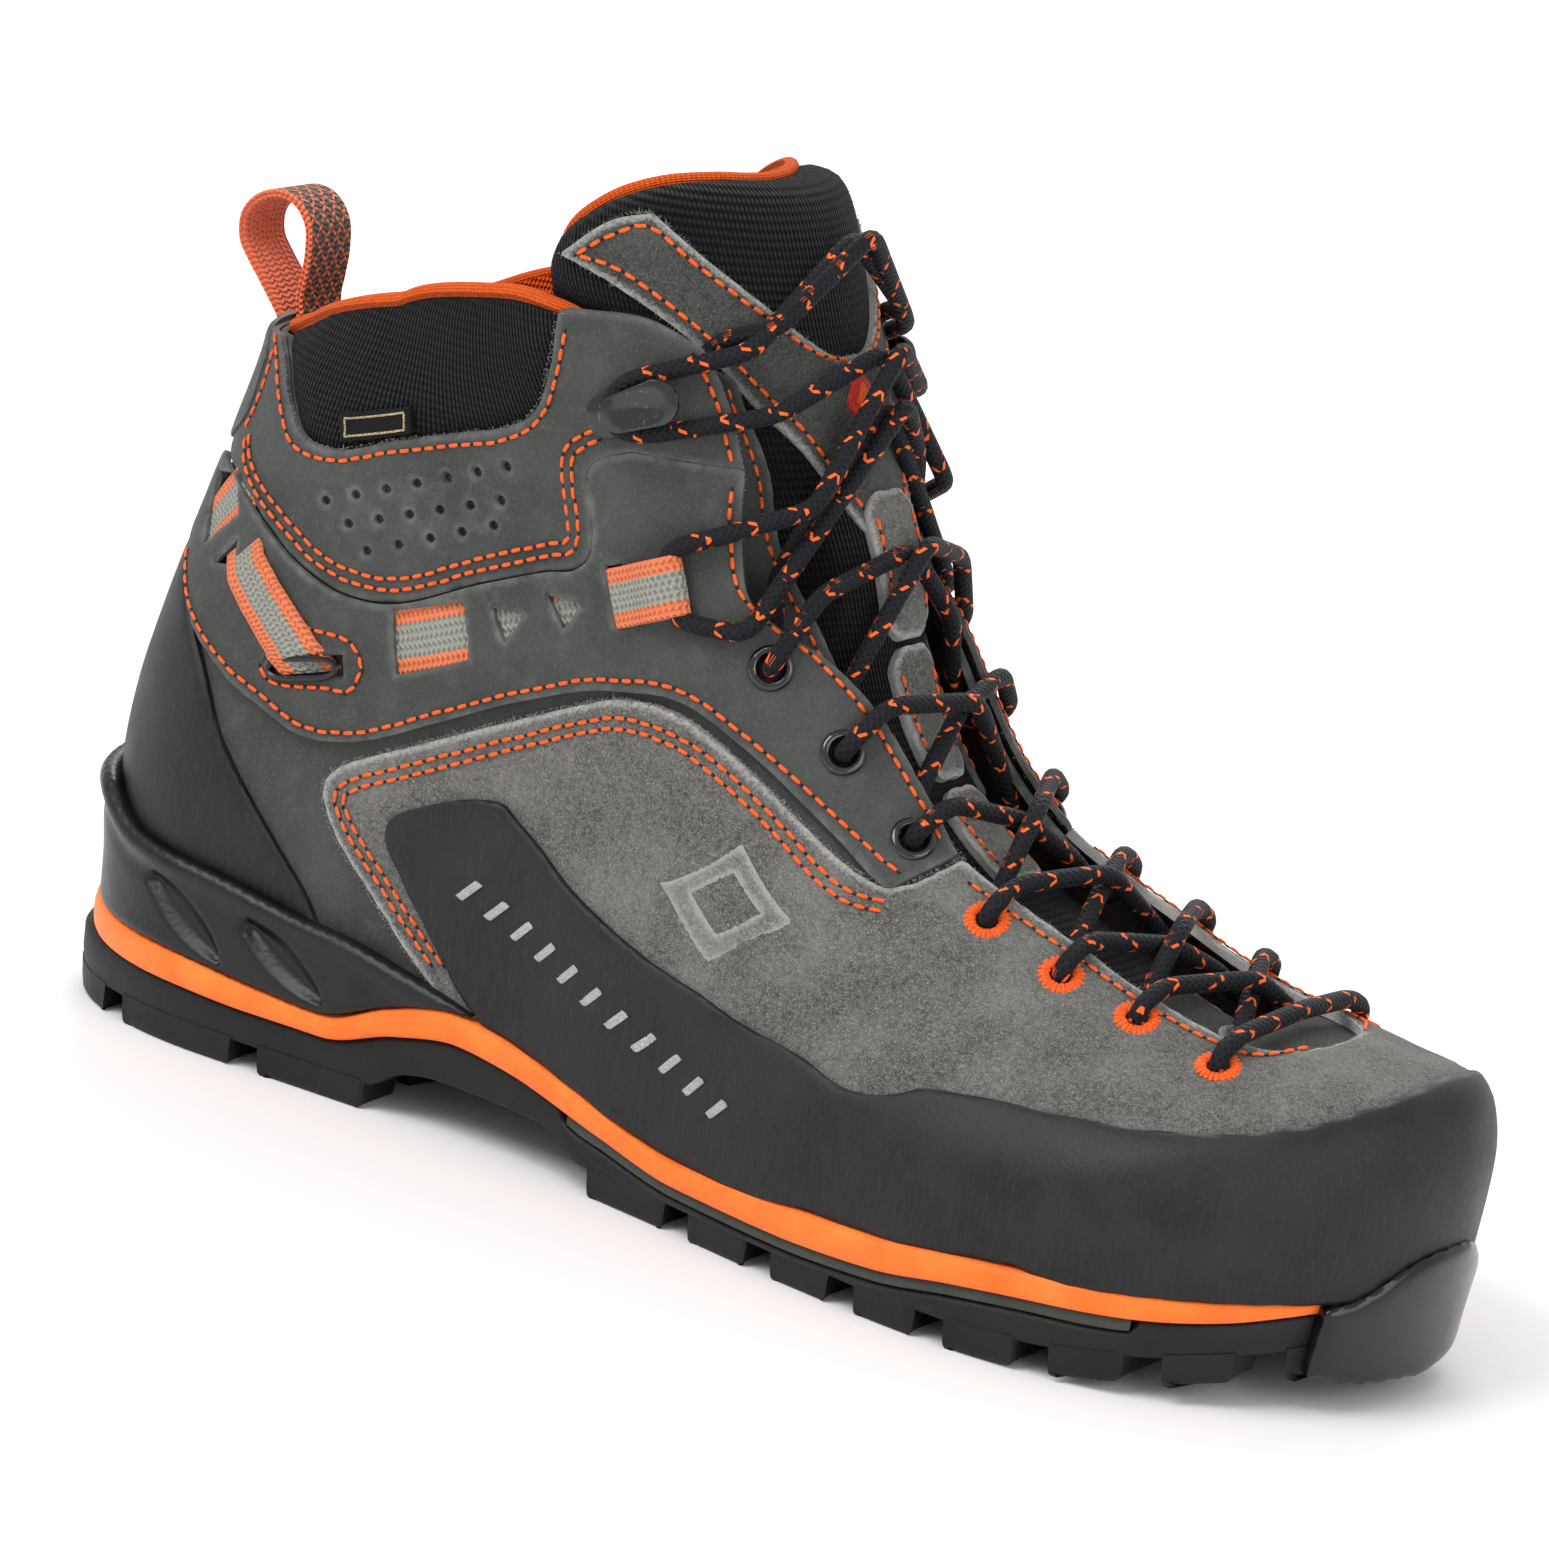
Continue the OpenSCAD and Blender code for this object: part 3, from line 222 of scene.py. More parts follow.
def tangents(u, h):
    """Change of base over u and over h."""
    du, dh = 2e-3, 0.6
    return (base(u + du, h) - base(u - du, h)) / (2 * du), (base(u, h + dh) - base(u, h - dh)) / (2 * dh)


def normal(u, h):
    """Direction straight out of the form."""
    pu, ph = tangents(u, h)
    return unit(np.cross(pu, ph))


def surface(uh):
    """Points of the form, and the directions straight out of it."""
    return base(uh[:, 0], uh[:, 1]), normal(uh[:, 0], uh[:, 1])


def on(uh, d):
    """Points at distance d from the form."""
    p, n = surface(uh)
    return p + n * np.broadcast_to(d, len(p))[:, None]


GRID_U, GRID_H = np.meshgrid(np.arange(-0.62, 1.999, 0.01), np.arange(-74, 200, 2.0))
GRID_P = base(GRID_U.ravel(), GRID_H.ravel())


def nearest(points, lo, hi):
    """(u, h) of the form's points nearest to some 3-D points, with u in a range."""
    keep = np.flatnonzero((GRID_U.ravel() >= lo) & (GRID_U.ravel() <= hi))
    tree = kdtree.KDTree(len(keep))
    for j, i in enumerate(keep):
        tree.insert(GRID_P[i], j)
    tree.balance()
    points = np.asarray(points, float)
    found = keep[[tree.find(p)[1] for p in points]]
    u, h = GRID_U.ravel()[found].copy(), GRID_H.ravel()[found].copy()
    for _ in range(6):
        pu, ph = tangents(u, h)
        r = points - base(u, h)
        a, b, c = (pu * pu).sum(1), (pu * ph).sum(1), (ph * ph).sum(1)
        e, f = (pu * r).sum(1), (ph * r).sum(1)
        det = np.maximum(a * c - b * b, 1e-9)
        u = u + np.clip((c * e - b * f) / det, -0.01, 0.01)
        h = h + np.clip((a * f - b * e) / det, -2, 2)
    return np.stack([u, h], 1)


def nearest_on(points, side):
    """(u, h) nearest to some 3-D points on one side of the boot."""
    return nearest(points, 0, 1) if side < 0 else nearest(points, 1, 1.99)


def place(points, side, wrap="side"):
    """(u, h) of points given as (x, z) of the side view, or (x, y, z) with y for the outer side.
    A line with wrap="rear" may pass the middle of the heel."""
    p3 = []
    for p in points:
        if len(p) == 2:
            p3.append((p[0], side * float(half(p[0], p[1], side)), p[1]))
        else:
            p3.append((p[0], p[1] if side < 0 else -p[1], p[2]))
    if wrap == "rear":
        return nearest(p3, -0.6, 0.6)
    return nearest_on(p3, side)


def smoothed(uh, per):
    """(u, h) of a smooth curve through (u, h) points."""
    return spline(uh * (U_MM, 1), per=per) / (U_MM, 1)


def smooth_run(points, side, wrap="side", per=14):
    """(u, h) of a smooth curve through side-view points."""
    return smoothed(place(points, side, wrap), per)


def one_run(points, side, wrap):
    """(u, h) of one run of a loop without its last point; two points make a straight run."""
    if len(points) > 2:
        return smooth_run(points, side, wrap, 10)[:-1]
    uh = place(points, side, wrap)
    return np.linspace(uh[0], uh[-1], 12)[:-1]


# ------------------------------------------------------------------ meshes
def make(name, verts, faces, look, body="boot", uv=None, rim=None, stands_for=(), slot=None, sharp=40,
         smooth=True):
    """One visible piece from points in millimetres. rim is 0 at a cut edge and 1 away from it."""
    mesh = bpy.data.meshes.new(name)
    mesh.from_pydata((np.asarray(verts) * MM).tolist(), [], [list(f) for f in faces])
    mesh.update()
    if uv is not None:
        layer = mesh.uv_layers.new(name="UVMap")
        index = np.zeros(len(mesh.loops), np.int32)
        mesh.loops.foreach_get("vertex_index", index)
        layer.data.foreach_set("uv", np.asarray(uv, np.float32)[index].ravel())
    if rim is not None:
        mesh.attributes.new("rim", "FLOAT", "POINT").data.foreach_set("value", np.asarray(rim, np.float32))
    obj = bpy.data.objects.new(name, mesh)
    scene.collection.objects.link(obj)
    mesh.materials.append(LOOKS[look])
    if smooth:
        mesh.shade_smooth()
        mesh.set_sharp_from_angle(angle=math.radians(sharp))
    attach(obj, body)
    if stands_for:
        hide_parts(*stands_for)
    return obj


def join_parts(parts):
    """Many (verts, faces, uv) as one."""
    verts, faces, uvs, n = [], [], [], 0
    for v, f, w in parts:
        verts.append(v)
        faces.extend([[i + n for i in face] for face in f])
        uvs.append(w if w is not None else np.zeros((len(v), 2)))
        n += len(v)
    return np.vstack(verts), faces, np.vstack(uvs)


def make_joined(name, parts, look, **kw):
    """Many (verts, faces, uv) as one piece."""
    verts, faces, uv = join_parts(parts)
    return make(name, verts, faces, look, uv=uv, **kw)


def soft_step(v, lo, hi):
    """0 below lo, 1 above hi, and a smooth rise between."""
    k = np.clip((v - lo) / (hi - lo), 0, 1)
    return k * k * (3 - 2 * k)


def at_height(flat, z):
    """3-D points over 2-D ones; z is one height or one for each."""
    return np.column_stack([flat, np.broadcast_to(z, len(flat))])


def bulge(dist, r):
    """Height of a rounded edge: 0 at the edge, 1 from r inwards."""
    return np.sqrt(1 - (1 - np.clip(dist / r, 0, 1)) ** 2)


def outward(loop):
    """Directions out of a closed 2-D loop at its points."""
    t = np.roll(loop, -1, 0) - np.roll(loop, 1, 0)
    out = unit(np.stack([t[:, 1], -t[:, 0]], 1))
    return out if np.sum(out * (loop - loop.mean(0))) > 0 else -out


def anticlockwise(loop):
    """Whether a 2-D loop runs that way."""
    x, y = loop.T
    return np.sum(x * np.roll(y, -1) - y * np.roll(x, -1)) > 0


def inside(points, loops):
    """Which 2-D points lie inside the loops; a loop inside another is a hole."""
    hit = np.zeros(len(points), bool)
    for loop in loops:
        a, b = loop, np.roll(loop, -1, axis=0)
        for start in range(0, len(points), 4000):
            q = points[start:start + 4000]
            cond = (a[None, :, 1] > q[:, None, 1]) != (b[None, :, 1] > q[:, None, 1])
            with np.errstate(divide="ignore", invalid="ignore"):
                xs = (b[:, 0] - a[:, 0]) * (q[:, None, 1] - a[:, 1]) / (b[:, 1] - a[:, 1]) + a[:, 0]
            hit[start:start + 4000] ^= (np.sum(cond & (q[:, None, 0] < xs), axis=1) % 2).astype(bool)
    return hit


def fill(loops, step, insets=(0.45, 1.1)):
    """Triangles that fill 2-D loops, the first outside and the others holes."""
    spans = [np.sum(np.linalg.norm(l - np.roll(l, 1, axis=0), axis=1)) for l in loops]
    loops = [resample(l, min(step * 0.8, span / 12), True) for l, span in zip(loops, spans)]
    edge_pts = np.vstack(loops)
    tree = kdtree.KDTree(len(edge_pts))
    for i, p in enumerate(edge_pts):
        tree.insert((p[0], p[1], 0), i)
    tree.balance()
    extra = []
    for l in loops:
        t = np.roll(l, -1, 0) - np.roll(l, 1, 0)
        n = unit(np.stack([-t[:, 1], t[:, 0]], 1))
        for d in insets:
            for s in (1, -1):
                q = l + n * d * s
                q = q[inside(q, loops)]
                extra += [p for p in q if tree.find((p[0], p[1], 0))[2] > d * 0.93]
    lo, hi = edge_pts.min(0), edge_pts.max(0)
    rows = np.arange(lo[1], hi[1], step * 0.87)
    grid = np.vstack([np.stack([np.arange(lo[0] + (k % 2) * step / 2, hi[0], step), np.full(
        len(np.arange(lo[0] + (k % 2) * step / 2, hi[0], step)), y)], 1) for k, y in enumerate(rows)])
    grid = grid[inside(grid, loops)]
    clear = (insets[-1] if insets else 0) + step * 0.55
    grid = np.array([p for p in grid if tree.find((p[0], p[1], 0))[2] > clear]).reshape(-1, 2)
    pts = np.vstack([edge_pts] + ([np.array(extra)] if extra else []) + [grid])
    edges, k = [], 0
    for l in loops:
        edges += [(k + i, k + (i + 1) % len(l)) for i in range(len(l))]
        k += len(l)
    out = delaunay_2d_cdt([Vector(p) for p in pts], edges, [], 0, 1e-5)
    pts = np.array([tuple(v) for v in out[0]])
    tris = np.array([f for f in out[2] if len(f) == 3])
    tris = tris[inside(pts[tris].mean(1), loops)]
    a, b, c = pts[tris[:, 0]], pts[tris[:, 1]], pts[tris[:, 2]]
    area = (b[:, 0] - a[:, 0]) * (c[:, 1] - a[:, 1]) - (b[:, 1] - a[:, 1]) * (c[:, 0] - a[:, 0])
    tris = tris[np.abs(area) > 1e-6]
    area = area[np.abs(area) > 1e-6]
    tris[area < 0] = tris[area < 0][:, ::-1]
    used, new = np.unique(tris, return_inverse=True)
    return pts[used], new.reshape(tris.shape)


def thicken(top, bottom, tris):
    """A closed solid between two copies of a triangulated sheet."""
    n = len(top)
    count = {}
    for t in tris:
        for a, b in ((t[0], t[1]), (t[1], t[2]), (t[2], t[0])):
            count[(a, b)] = count.get((a, b), 0) + 1
    walls = [[a + n, b + n, b, a] for (a, b) in count if (b, a) not in count]
    faces = [list(t) for t in tris] + [[t[2] + n, t[1] + n, t[0] + n] for t in tris] + walls
    return np.vstack([top, bottom]), faces


def wobble(p, size, depth, seed=0):
    """Soft unevenness: a few waves that run through space in fixed random directions."""
    rng = np.random.default_rng(seed)
    out = np.zeros(len(p))
    for _ in range(9):
        k = unit(rng.normal(size=3)) * (2 * np.pi / (size * rng.uniform(0.6, 1.7)))
        out += np.sin(p @ k + rng.uniform(0, 6.3))
    return out * depth / 3


class Chart:
    """A flat chart of part of the form, close to true lengths at one level."""

    def __init__(self, level):
        self.u = np.linspace(-0.62, 1.999, 900)
        p = base(self.u, np.full(900, float(level)))
        self.s = run_length(p)

    def flat(self, uh):
        return np.stack([np.interp(uh[:, 0], self.u, self.s), uh[:, 1]], 1)

    def back(self, sh):
        return np.stack([np.interp(sh[:, 0], self.s, self.u), sh[:, 1]], 1)


def edge_distance(p, loops3):
    """Distance of each point from the nearest point of the loops."""
    tree = kdtree.KDTree(sum(len(l) for l in loops3))
    i = 0
    for l in loops3:
        for q in l:
            tree.insert(q, i)
            i += 1
    tree.balance()
    return np.array([tree.find(q)[2] for q in p])


def sheet(loops, level, step, insets=(0.45, 1.1)):
    """Flat points, triangles, points and normals of a sheet, and how far each point is from its edge."""
    chart = Chart(level)
    flat, tris = fill([chart.flat(l) for l in loops], step, insets)
    p, n = surface(chart.back(flat))
    dist = edge_distance(p, [surface(chart.back(resample(chart.flat(l), 0.5, True)))[0] for l in loops])
    return flat, tris, p, n, dist


def make_sheet(name, sheet_mesh, top, low, look, dist=None, **kw):
    """A closed piece between two copies of a sheet's points."""
    flat, tris = sheet_mesh
    verts, faces = thicken(top, low, tris)
    rim = None if dist is None else np.tile(np.clip(dist / 3.5, 0, 1), 2)
    return make(name, verts, faces, look, uv=np.vstack([flat, flat]) * 0.1, rim=rim, **kw)


def panel(name, loops, d0, d1, look, step=1.7, round_r=1.1, edge=0.5, lift=None, level=60, rough=0,
          waves=(30, 0.12), **kw):
    """A closed sheet on the form between distances d0 and d1, cut to loops of (u, h)."""
    flat, tris, p, n, dist = sheet(loops, level, step)
    d = d0 + (d1 - d0) * (edge + (1 - edge) * bulge(dist, round_r))
    if lift is not None:
        d = d + lift(p, dist)
    if waves:
        d = d + wobble(p, waves[0], waves[1], len(name)) * np.clip(dist / 4, 0, 1)
    if rough:
        d = d + RNG.uniform(-rough, rough, len(d)) * (dist < 0.9)
    d = np.maximum(d, d0 + 0.15)
    return make_sheet(name, (flat, tris), p + n * d[:, None], p + n * d0, look, dist, **kw)


def outline(*runs, side=-1):
    """A closed loop of (u, h) from runs of points; each run is a smooth curve, with a corner between runs."""
    return np.vstack([one_run(run, side, "side") for run in runs])


def polygon(corners, side=-1):
    """A closed loop of straight runs between corners."""
    return outline(*zip(corners, corners[1:] + corners[:1]), side=side)


def mirrored_loop(runs, wrap, middle):
    """A closed loop from its outer half, which starts and ends on the middle line."""
    h = np.vstack([one_run(run, -1, wrap) for run in runs] + [place([runs[-1][-1]], -1, wrap)])
    h[:, 0] = np.minimum(h[:, 0], 1) if middle else np.maximum(h[:, 0], 0)
    h[0, 0] = h[-1, 0] = middle
    other = h[::-1].copy()
    other[:, 0] = 2 * middle - other[:, 0]
    return np.vstack([h, other[1:-1]])


def rear_loop(*runs):
    """A closed loop round the heel from its outer half."""
    return mirrored_loop(runs, "rear", 0)


def front_loop(*runs):
    """A closed loop round the toe or instep from its outer half."""
    return mirrored_loop(runs, "side", 1)


def ring_faces(rows, m, flip=False, ends=True):
    """Faces of a skin over rows of m points each, with its two ends."""
    faces = []
    for i in range(rows - 1):
        for k in range(m):
            near, far = i * m + k, i * m + (k + 1) % m
            faces.append([near, near + m, far + m, far] if flip else [near, far, far + m, near + m])
    lids = [list(range(m))[::-1], [(rows - 1) * m + k for k in range(m)]] if ends else []
    return faces + [lid[::-1] if flip else lid for lid in lids]


def tube(points, radius, sides=12, ends=True):
    """(verts, faces, uv) of a round tube; uv is around (0-1) and along in millimetres."""
    p = np.asarray(points, float)
    n = len(p)
    tangent = unit(np.gradient(p, axis=0))
    side_v = unit(np.cross(tangent[0], (0.3, 0.2, 0.9)))
    frames = []
    for t in tangent:
        side_v = unit(side_v - (side_v @ t) * t)
        frames.append(side_v)
    side_v = np.array(frames)
    other = np.cross(tangent, side_v)
    a = np.linspace(0, 2 * np.pi, sides + 1)
    rings = p[:, None] + radius * (
        np.cos(a)[None, :, None] * side_v[:, None] + np.sin(a)[None, :, None] * other[:, None])
    along = run_length(p)
    uv = np.stack(np.broadcast_arrays(a[None] / (2 * np.pi), along[:, None]), -1).reshape(-1, 2)
    verts = rings[:, :-1].reshape(-1, 3)
    uv = uv.reshape(n, sides + 1, 2)[:, :-1].reshape(-1, 2)
    return verts, ring_faces(n, sides, ends=ends), uv


def band(points, across, width, thick, crown):
    """(verts, faces, uv) of a woven tape along points; across is its width direction at every point."""
    p = np.asarray(points, float)
    across = unit(np.asarray(across, float))
    tangent = unit(np.gradient(p, axis=0))
    out = unit(np.cross(across, tangent))
    along = run_length(p)
    w, e = width / 2, 0.3
    profile = [(-w, -thick / 2 + e), (-w, thick / 2 - e), (-w + e, thick / 2),
               (-w / 2, thick / 2 + crown * 0.7), (0, thick / 2 + crown), (w / 2, thick / 2 + crown * 0.7),
               (w - e, thick / 2), (w, thick / 2 - e), (w, -thick / 2 + e), (w - e, -thick / 2),
               (0, -thick / 2), (-w + e, -thick / 2)]
    m = len(profile)
    verts = np.concatenate([(p + across * a + out * b)[:, None] for a, b in profile], 1).reshape(-1, 3)
    uv = np.array([[(a / width) + 0.5, s] for s in along for a, b in profile])
    return verts, ring_faces(len(p), m, flip=True), uv


# ------------------------------------------------------------------ materials
class Shade:
    """A principled material and short ways to add nodes to it."""

    def __init__(self, name, roughness=0.6, **settings):
        self.mat = bpy.data.materials.new(name)
        self.mat.use_nodes = True
        self.tree = self.mat.node_tree
        self.bsdf = self.tree.nodes["Principled BSDF"]
        self.bsdf.inputs["Roughness"].default_value = roughness
        for key, value in settings.items():
            self.bsdf.inputs[key.replace("_", " ")].default_value = value
        coords = self.add("ShaderNodeTexCoord")
        self.object, self.uv = coords.outputs["Object"], coords.outputs["UV"]

    def add(self, kind, inputs=None, **props):
        n = self.tree.nodes.new(kind)
        for key, value in props.items():
            setattr(n, key, value)
        for key, value in (inputs or {}).items():
            self.set(n.inputs[key], value)
        return n

    def set(self, socket, value):
        if isinstance(value, bpy.types.NodeSocket):
            self.tree.links.new(value, socket)
        else:
            socket.default_value = value

    def math(self, op, a, b=0.0):
        n = self.add("ShaderNodeMath", operation=op)
        self.set(n.inputs[0], a)
        self.set(n.inputs[1], b)
        return n.outputs[0]

    def plus(self, a, b):
        return self.math("ADD", a, b)

    def minus(self, a, b):
        return self.math("SUBTRACT", a, b)

    def times(self, a, b):
        return self.math("MULTIPLY", a, b)

    def over(self, a, b):
        return self.math("DIVIDE", a, b)

    def noise(self, scale, detail=2.0, rough=0.5, stretch=None):
        v = self.object
        if stretch:
            v = self.add("ShaderNodeVectorMath", {0: v, 1: stretch}, operation="MULTIPLY").outputs[0]
        n = self.add("ShaderNodeTexNoise", {"Vector": v, "Scale": scale, "Detail": detail,
                                            "Roughness": rough})
        return n.outputs["Fac"]

    def cells(self, scale, feature="F1"):
        n = self.add("ShaderNodeTexVoronoi", {"Vector": self.object, "Scale": scale}, feature=feature)
        return n.outputs["Distance"]

    def ramp(self, value, lo, hi):
        """value stretched so that lo becomes 0 and hi becomes 1, held between them."""
        n = self.add("ShaderNodeMapRange", {"Value": value, "From Min": lo, "From Max": hi})
        return n.outputs["Result"]

    def mix(self, fac, a, b):
        """a where fac is 0, b where it is 1."""
        n = self.add("ShaderNodeMix", data_type="RGBA")
        self.set(n.inputs["Factor"], fac)
        self.set(n.inputs["A"], a)
        self.set(n.inputs["B"], b)
        return n.outputs["Result"]

    def layer(self, below, value, lo, hi, amount, color):
        """color laid over what is below, up to amount, where value has passed from lo to hi."""
        return self.mix(self.times(self.ramp(value, lo, hi), amount), below, color)

    def bump(self, height, strength, distance, before=None):
        n = self.add("ShaderNodeBump", {"Height": height, "Strength": strength, "Distance": distance})
        if before is not None:
            self.set(n.inputs["Normal"], before)
        return n.outputs["Normal"]

    def split(self, vector):
        n = self.add("ShaderNodeSeparateXYZ", {0: vector})
        return n.outputs[0], n.outputs[1]

    def rim(self):
        return self.add("ShaderNodeAttribute", attribute_name="rim").outputs["Fac"]

    def end(self, color, normal_out=None, roughness=None):
        self.set(self.bsdf.inputs["Base Color"], color)
        if normal_out is not None:
            self.set(self.bsdf.inputs["Normal"], normal_out)
        if roughness is not None:
            self.set(self.bsdf.inputs["Roughness"], roughness)
        return self.mat


def rgb(r, g, b):
    """An sRGB colour (0-255) as linear light, with alpha."""
    return tuple((c / 255 / 12.92 if c <= 10 else ((c / 255 + 0.055) / 1.055) ** 2.4) for c in (r, g,
                                                                                                b)) + (1.0,)


def nubuck(name, dark, mid, pale):
    """Leather with a fine nap, rubbed pale at its edges."""
    s = Shade(name, 0.8, Sheen_Weight=0.07, Sheen_Roughness=0.45, Specular_IOR_Level=0.22)
    s.bsdf.inputs["Sheen Tint"].default_value = (0.8, 0.82, 0.8, 1)
    clouds = s.noise(55, 3, 0.6)
    patches = s.noise(240, 4, 0.65)
    grain = s.noise(2600, 3, 0.6)
    c = s.mix(s.ramp(clouds, 0.2, 0.8), dark, mid)
    c = s.layer(c, patches, 0.5, 0.8, 0.22, pale)
    c = s.layer(c, grain, 0.55, 0.72, 0.4, pale)
    worn = s.times(s.ramp(s.rim(), 0.45, 0.0), s.ramp(patches, 0.3, 0.65))
    c = s.mix(s.times(worn, 0.7), c, pale)
    n = s.bump(grain, 0.35, 0.00025)
    n = s.bump(patches, 0.35, 0.0006, n)
    return s.end(c, n, s.ramp(patches, -0.9, 1.3))


def suede(name, dark, mid, pale, fuzz):
    """Shaggy suede, with a torn pale edge."""
    s = Shade(name, 0.95, Sheen_Weight=0.1, Sheen_Roughness=0.5, Specular_IOR_Level=0.1)
    clouds = s.noise(70, 4, 0.6)
    tufts = s.noise(900, 5, 0.75)
    hairs = s.noise(2800, 3, 0.7)
    c = s.mix(s.ramp(tufts, 0.36, 0.62), dark, mid)
    c = s.mix(s.ramp(hairs, 0.5, 0.72), c, pale)
    c = s.layer(c, clouds, 0.4, 0.7, 0.3, pale)
    torn = s.plus(s.rim(), s.times(s.minus(s.noise(1500, 3, 0.7), 0.5), 0.8))
    c = s.mix(s.ramp(torn, 0.42, 0.08), c, fuzz)
    n = s.bump(tufts, 0.7, 0.0007)
    n = s.bump(hairs, 0.6, 0.0004, n)
    return s.end(c, n)


def rubber(name, color, pale, roughness, streaks=0.0, pebble=0.0, coat=0.0):
    """Rubber or plastic, with brushed streaks or a pebbled skin."""
    s = Shade(name, roughness, Specular_IOR_Level=0.34, Coat_Weight=coat, Coat_Roughness=0.15)
    clouds = s.noise(60, 3, 0.6)
    fine = s.noise(1500, 3, 0.6)
    c = s.layer(color, clouds, 0.4, 0.75, 0.6, pale)
    c = s.layer(c, fine, 0.55, 0.8, 0.4, pale)
    n = s.bump(fine, 0.15, 0.0002)
    if streaks:
        brushed = s.noise(1.0, 3, 0.6, stretch=(2600, 2600, 160))
        c = s.layer(c, brushed, 0.5, 0.75, streaks, pale)
        n = s.bump(brushed, 0.5, 0.00025, n)
    if pebble:
        skin = s.cells(950, feature="SMOOTH_F1")
        n = s.bump(skin, pebble, 0.0005, n)
    return s.end(c, n, s.ramp(clouds, 0.5 - 2.5 * roughness, 0.5 + 2.5 * (1 - roughness)))


def foam(name, color, dark, pale):
    """Foam with fine pores."""
    s = Shade(name, 0.6, Specular_IOR_Level=0.35, Sheen_Weight=0.1)
    pores = s.cells(1700)
    clouds = s.noise(90, 4, 0.6)
    c = s.mix(s.ramp(clouds, 0.35, 0.7), color, pale)
    c = s.layer(c, pores, 0.3, 0.05, 0.35, dark)
    return s.end(c, s.bump(pores, 0.3, 0.0003), s.ramp(clouds, -0.8, 1.6))


def knit(name, color, pale, pitch=5.5, depth=0.0009):
    """Knitted cloth; uv in centimetres."""
    s = Shade(name, 0.85, Sheen_Weight=0.04, Sheen_Roughness=0.4, Specular_IOR_Level=0.16)
    u, v = s.split(s.uv)
    turns = 2 * math.pi * pitch
    a = s.math("SINE", s.times(s.plus(u, s.times(v, 0.6)), turns))
    b = s.math("SINE", s.times(s.minus(u, s.times(v, 0.6)), turns))
    lattice = s.times(a, b)
    yarn = s.noise(2400, 2, 0.6)
    c = s.mix(s.ramp(lattice, -0.2, 0.7), color, pale)
    c = s.layer(c, yarn, 0.5, 0.8, 0.5, pale)
    n = s.bump(lattice, 0.9, depth)
    return s.end(c, s.bump(yarn, 0.3, 0.0002, n))


def tape(name, center, edge, lattice=False):
    """Woven tape: u runs across it (0-1), v along it in millimetres."""
    s = Shade(name, 0.75, Sheen_Weight=0.06, Specular_IOR_Level=0.22)
    u, v = s.split(s.uv)
    off = s.math("ABSOLUTE", s.minus(u, 0.5))
    zigzag = s.math("PINGPONG", s.times(u, 5.0), 0.5)
    ribs = s.math("SINE", s.times(s.plus(s.over(v, 1.15), zigzag), 2 * math.pi))
    across = s.math("SINE", s.times(u, 2 * math.pi * 9))
    weave = s.plus(ribs, s.times(across, 0.6))
    if lattice:
        d1 = s.math("PINGPONG", s.plus(s.times(u, 4.0), s.over(v, 4.2)), 0.5)
        d2 = s.math("PINGPONG", s.minus(s.times(u, 4.0), s.over(v, 4.2)), 0.5)
        net = s.math("MINIMUM", d1, d2)
        c = s.mix(s.ramp(net, 0.13, 0.06), center, edge)
        c = s.mix(s.ramp(off, 0.455, 0.465), c, edge)
    else:
        c = s.mix(s.ramp(off, 0.23, 0.25), center, edge)
    c = s.layer(c, weave, -0.3, -1.4, 0.65, rgb(30, 28, 26))
    c = s.mix(s.times(s.noise(1800, 2, 0.6), 0.25), c, rgb(235, 225, 210))
    return s.end(c, s.bump(weave, 0.8, 0.0005))


def braid(name):
    """Lace: u runs around it, v along it in millimetres, with short orange flecks."""
    s = Shade(name, 0.7, Sheen_Weight=0.03, Specular_IOR_Level=0.25)
    u, v = s.split(s.uv)
    a = s.math("PINGPONG", s.plus(s.times(u, 6.0), s.over(v, 1.5)), 0.5)
    b = s.math("PINGPONG", s.minus(s.times(u, 6.0), s.over(v, 1.5)), 0.5)
    plait = s.math("MAXIMUM", a, b)
    left = s.math("FRACT", s.plus(s.times(u, 2.0), s.over(v, 9.0)))
    rightward = s.math("FRACT", s.minus(s.times(u, 2.0), s.over(v, 9.0)))
    near = s.math("MAXIMUM", s.math("LESS_THAN", left, 0.13), s.math("LESS_THAN", rightward, 0.13))
    dash = s.math("LESS_THAN", s.math("FRACT", s.over(v, 2.6)), 0.55)
    gap = s.math("LESS_THAN", s.math("FRACT", s.over(v, 9.0)), 0.5)
    fleck = s.times(s.times(near, dash), gap)
    c = s.mix(s.ramp(plait, 0.2, 0.5), rgb(2, 3, 5), rgb(20, 22, 31))
    c = s.mix(fleck, c, rgb(250, 105, 35))
    return s.end(c, s.bump(plait, 0.8, 0.0006))


def thread(name, color, dark):
    """Twisted thread."""
    s = Shade(name, 0.6, Sheen_Weight=0.05, Specular_IOR_Level=0.25)
    twist = s.noise(3000, 2, 0.7)
    patches = s.noise(300, 2, 0.5)
    c = s.mix(s.ramp(twist, 0.42, 0.62), dark, color)
    c = s.layer(c, patches, 0.45, 0.7, 0.3, dark)
    return s.end(c, s.bump(twist, 0.5, 0.0003))


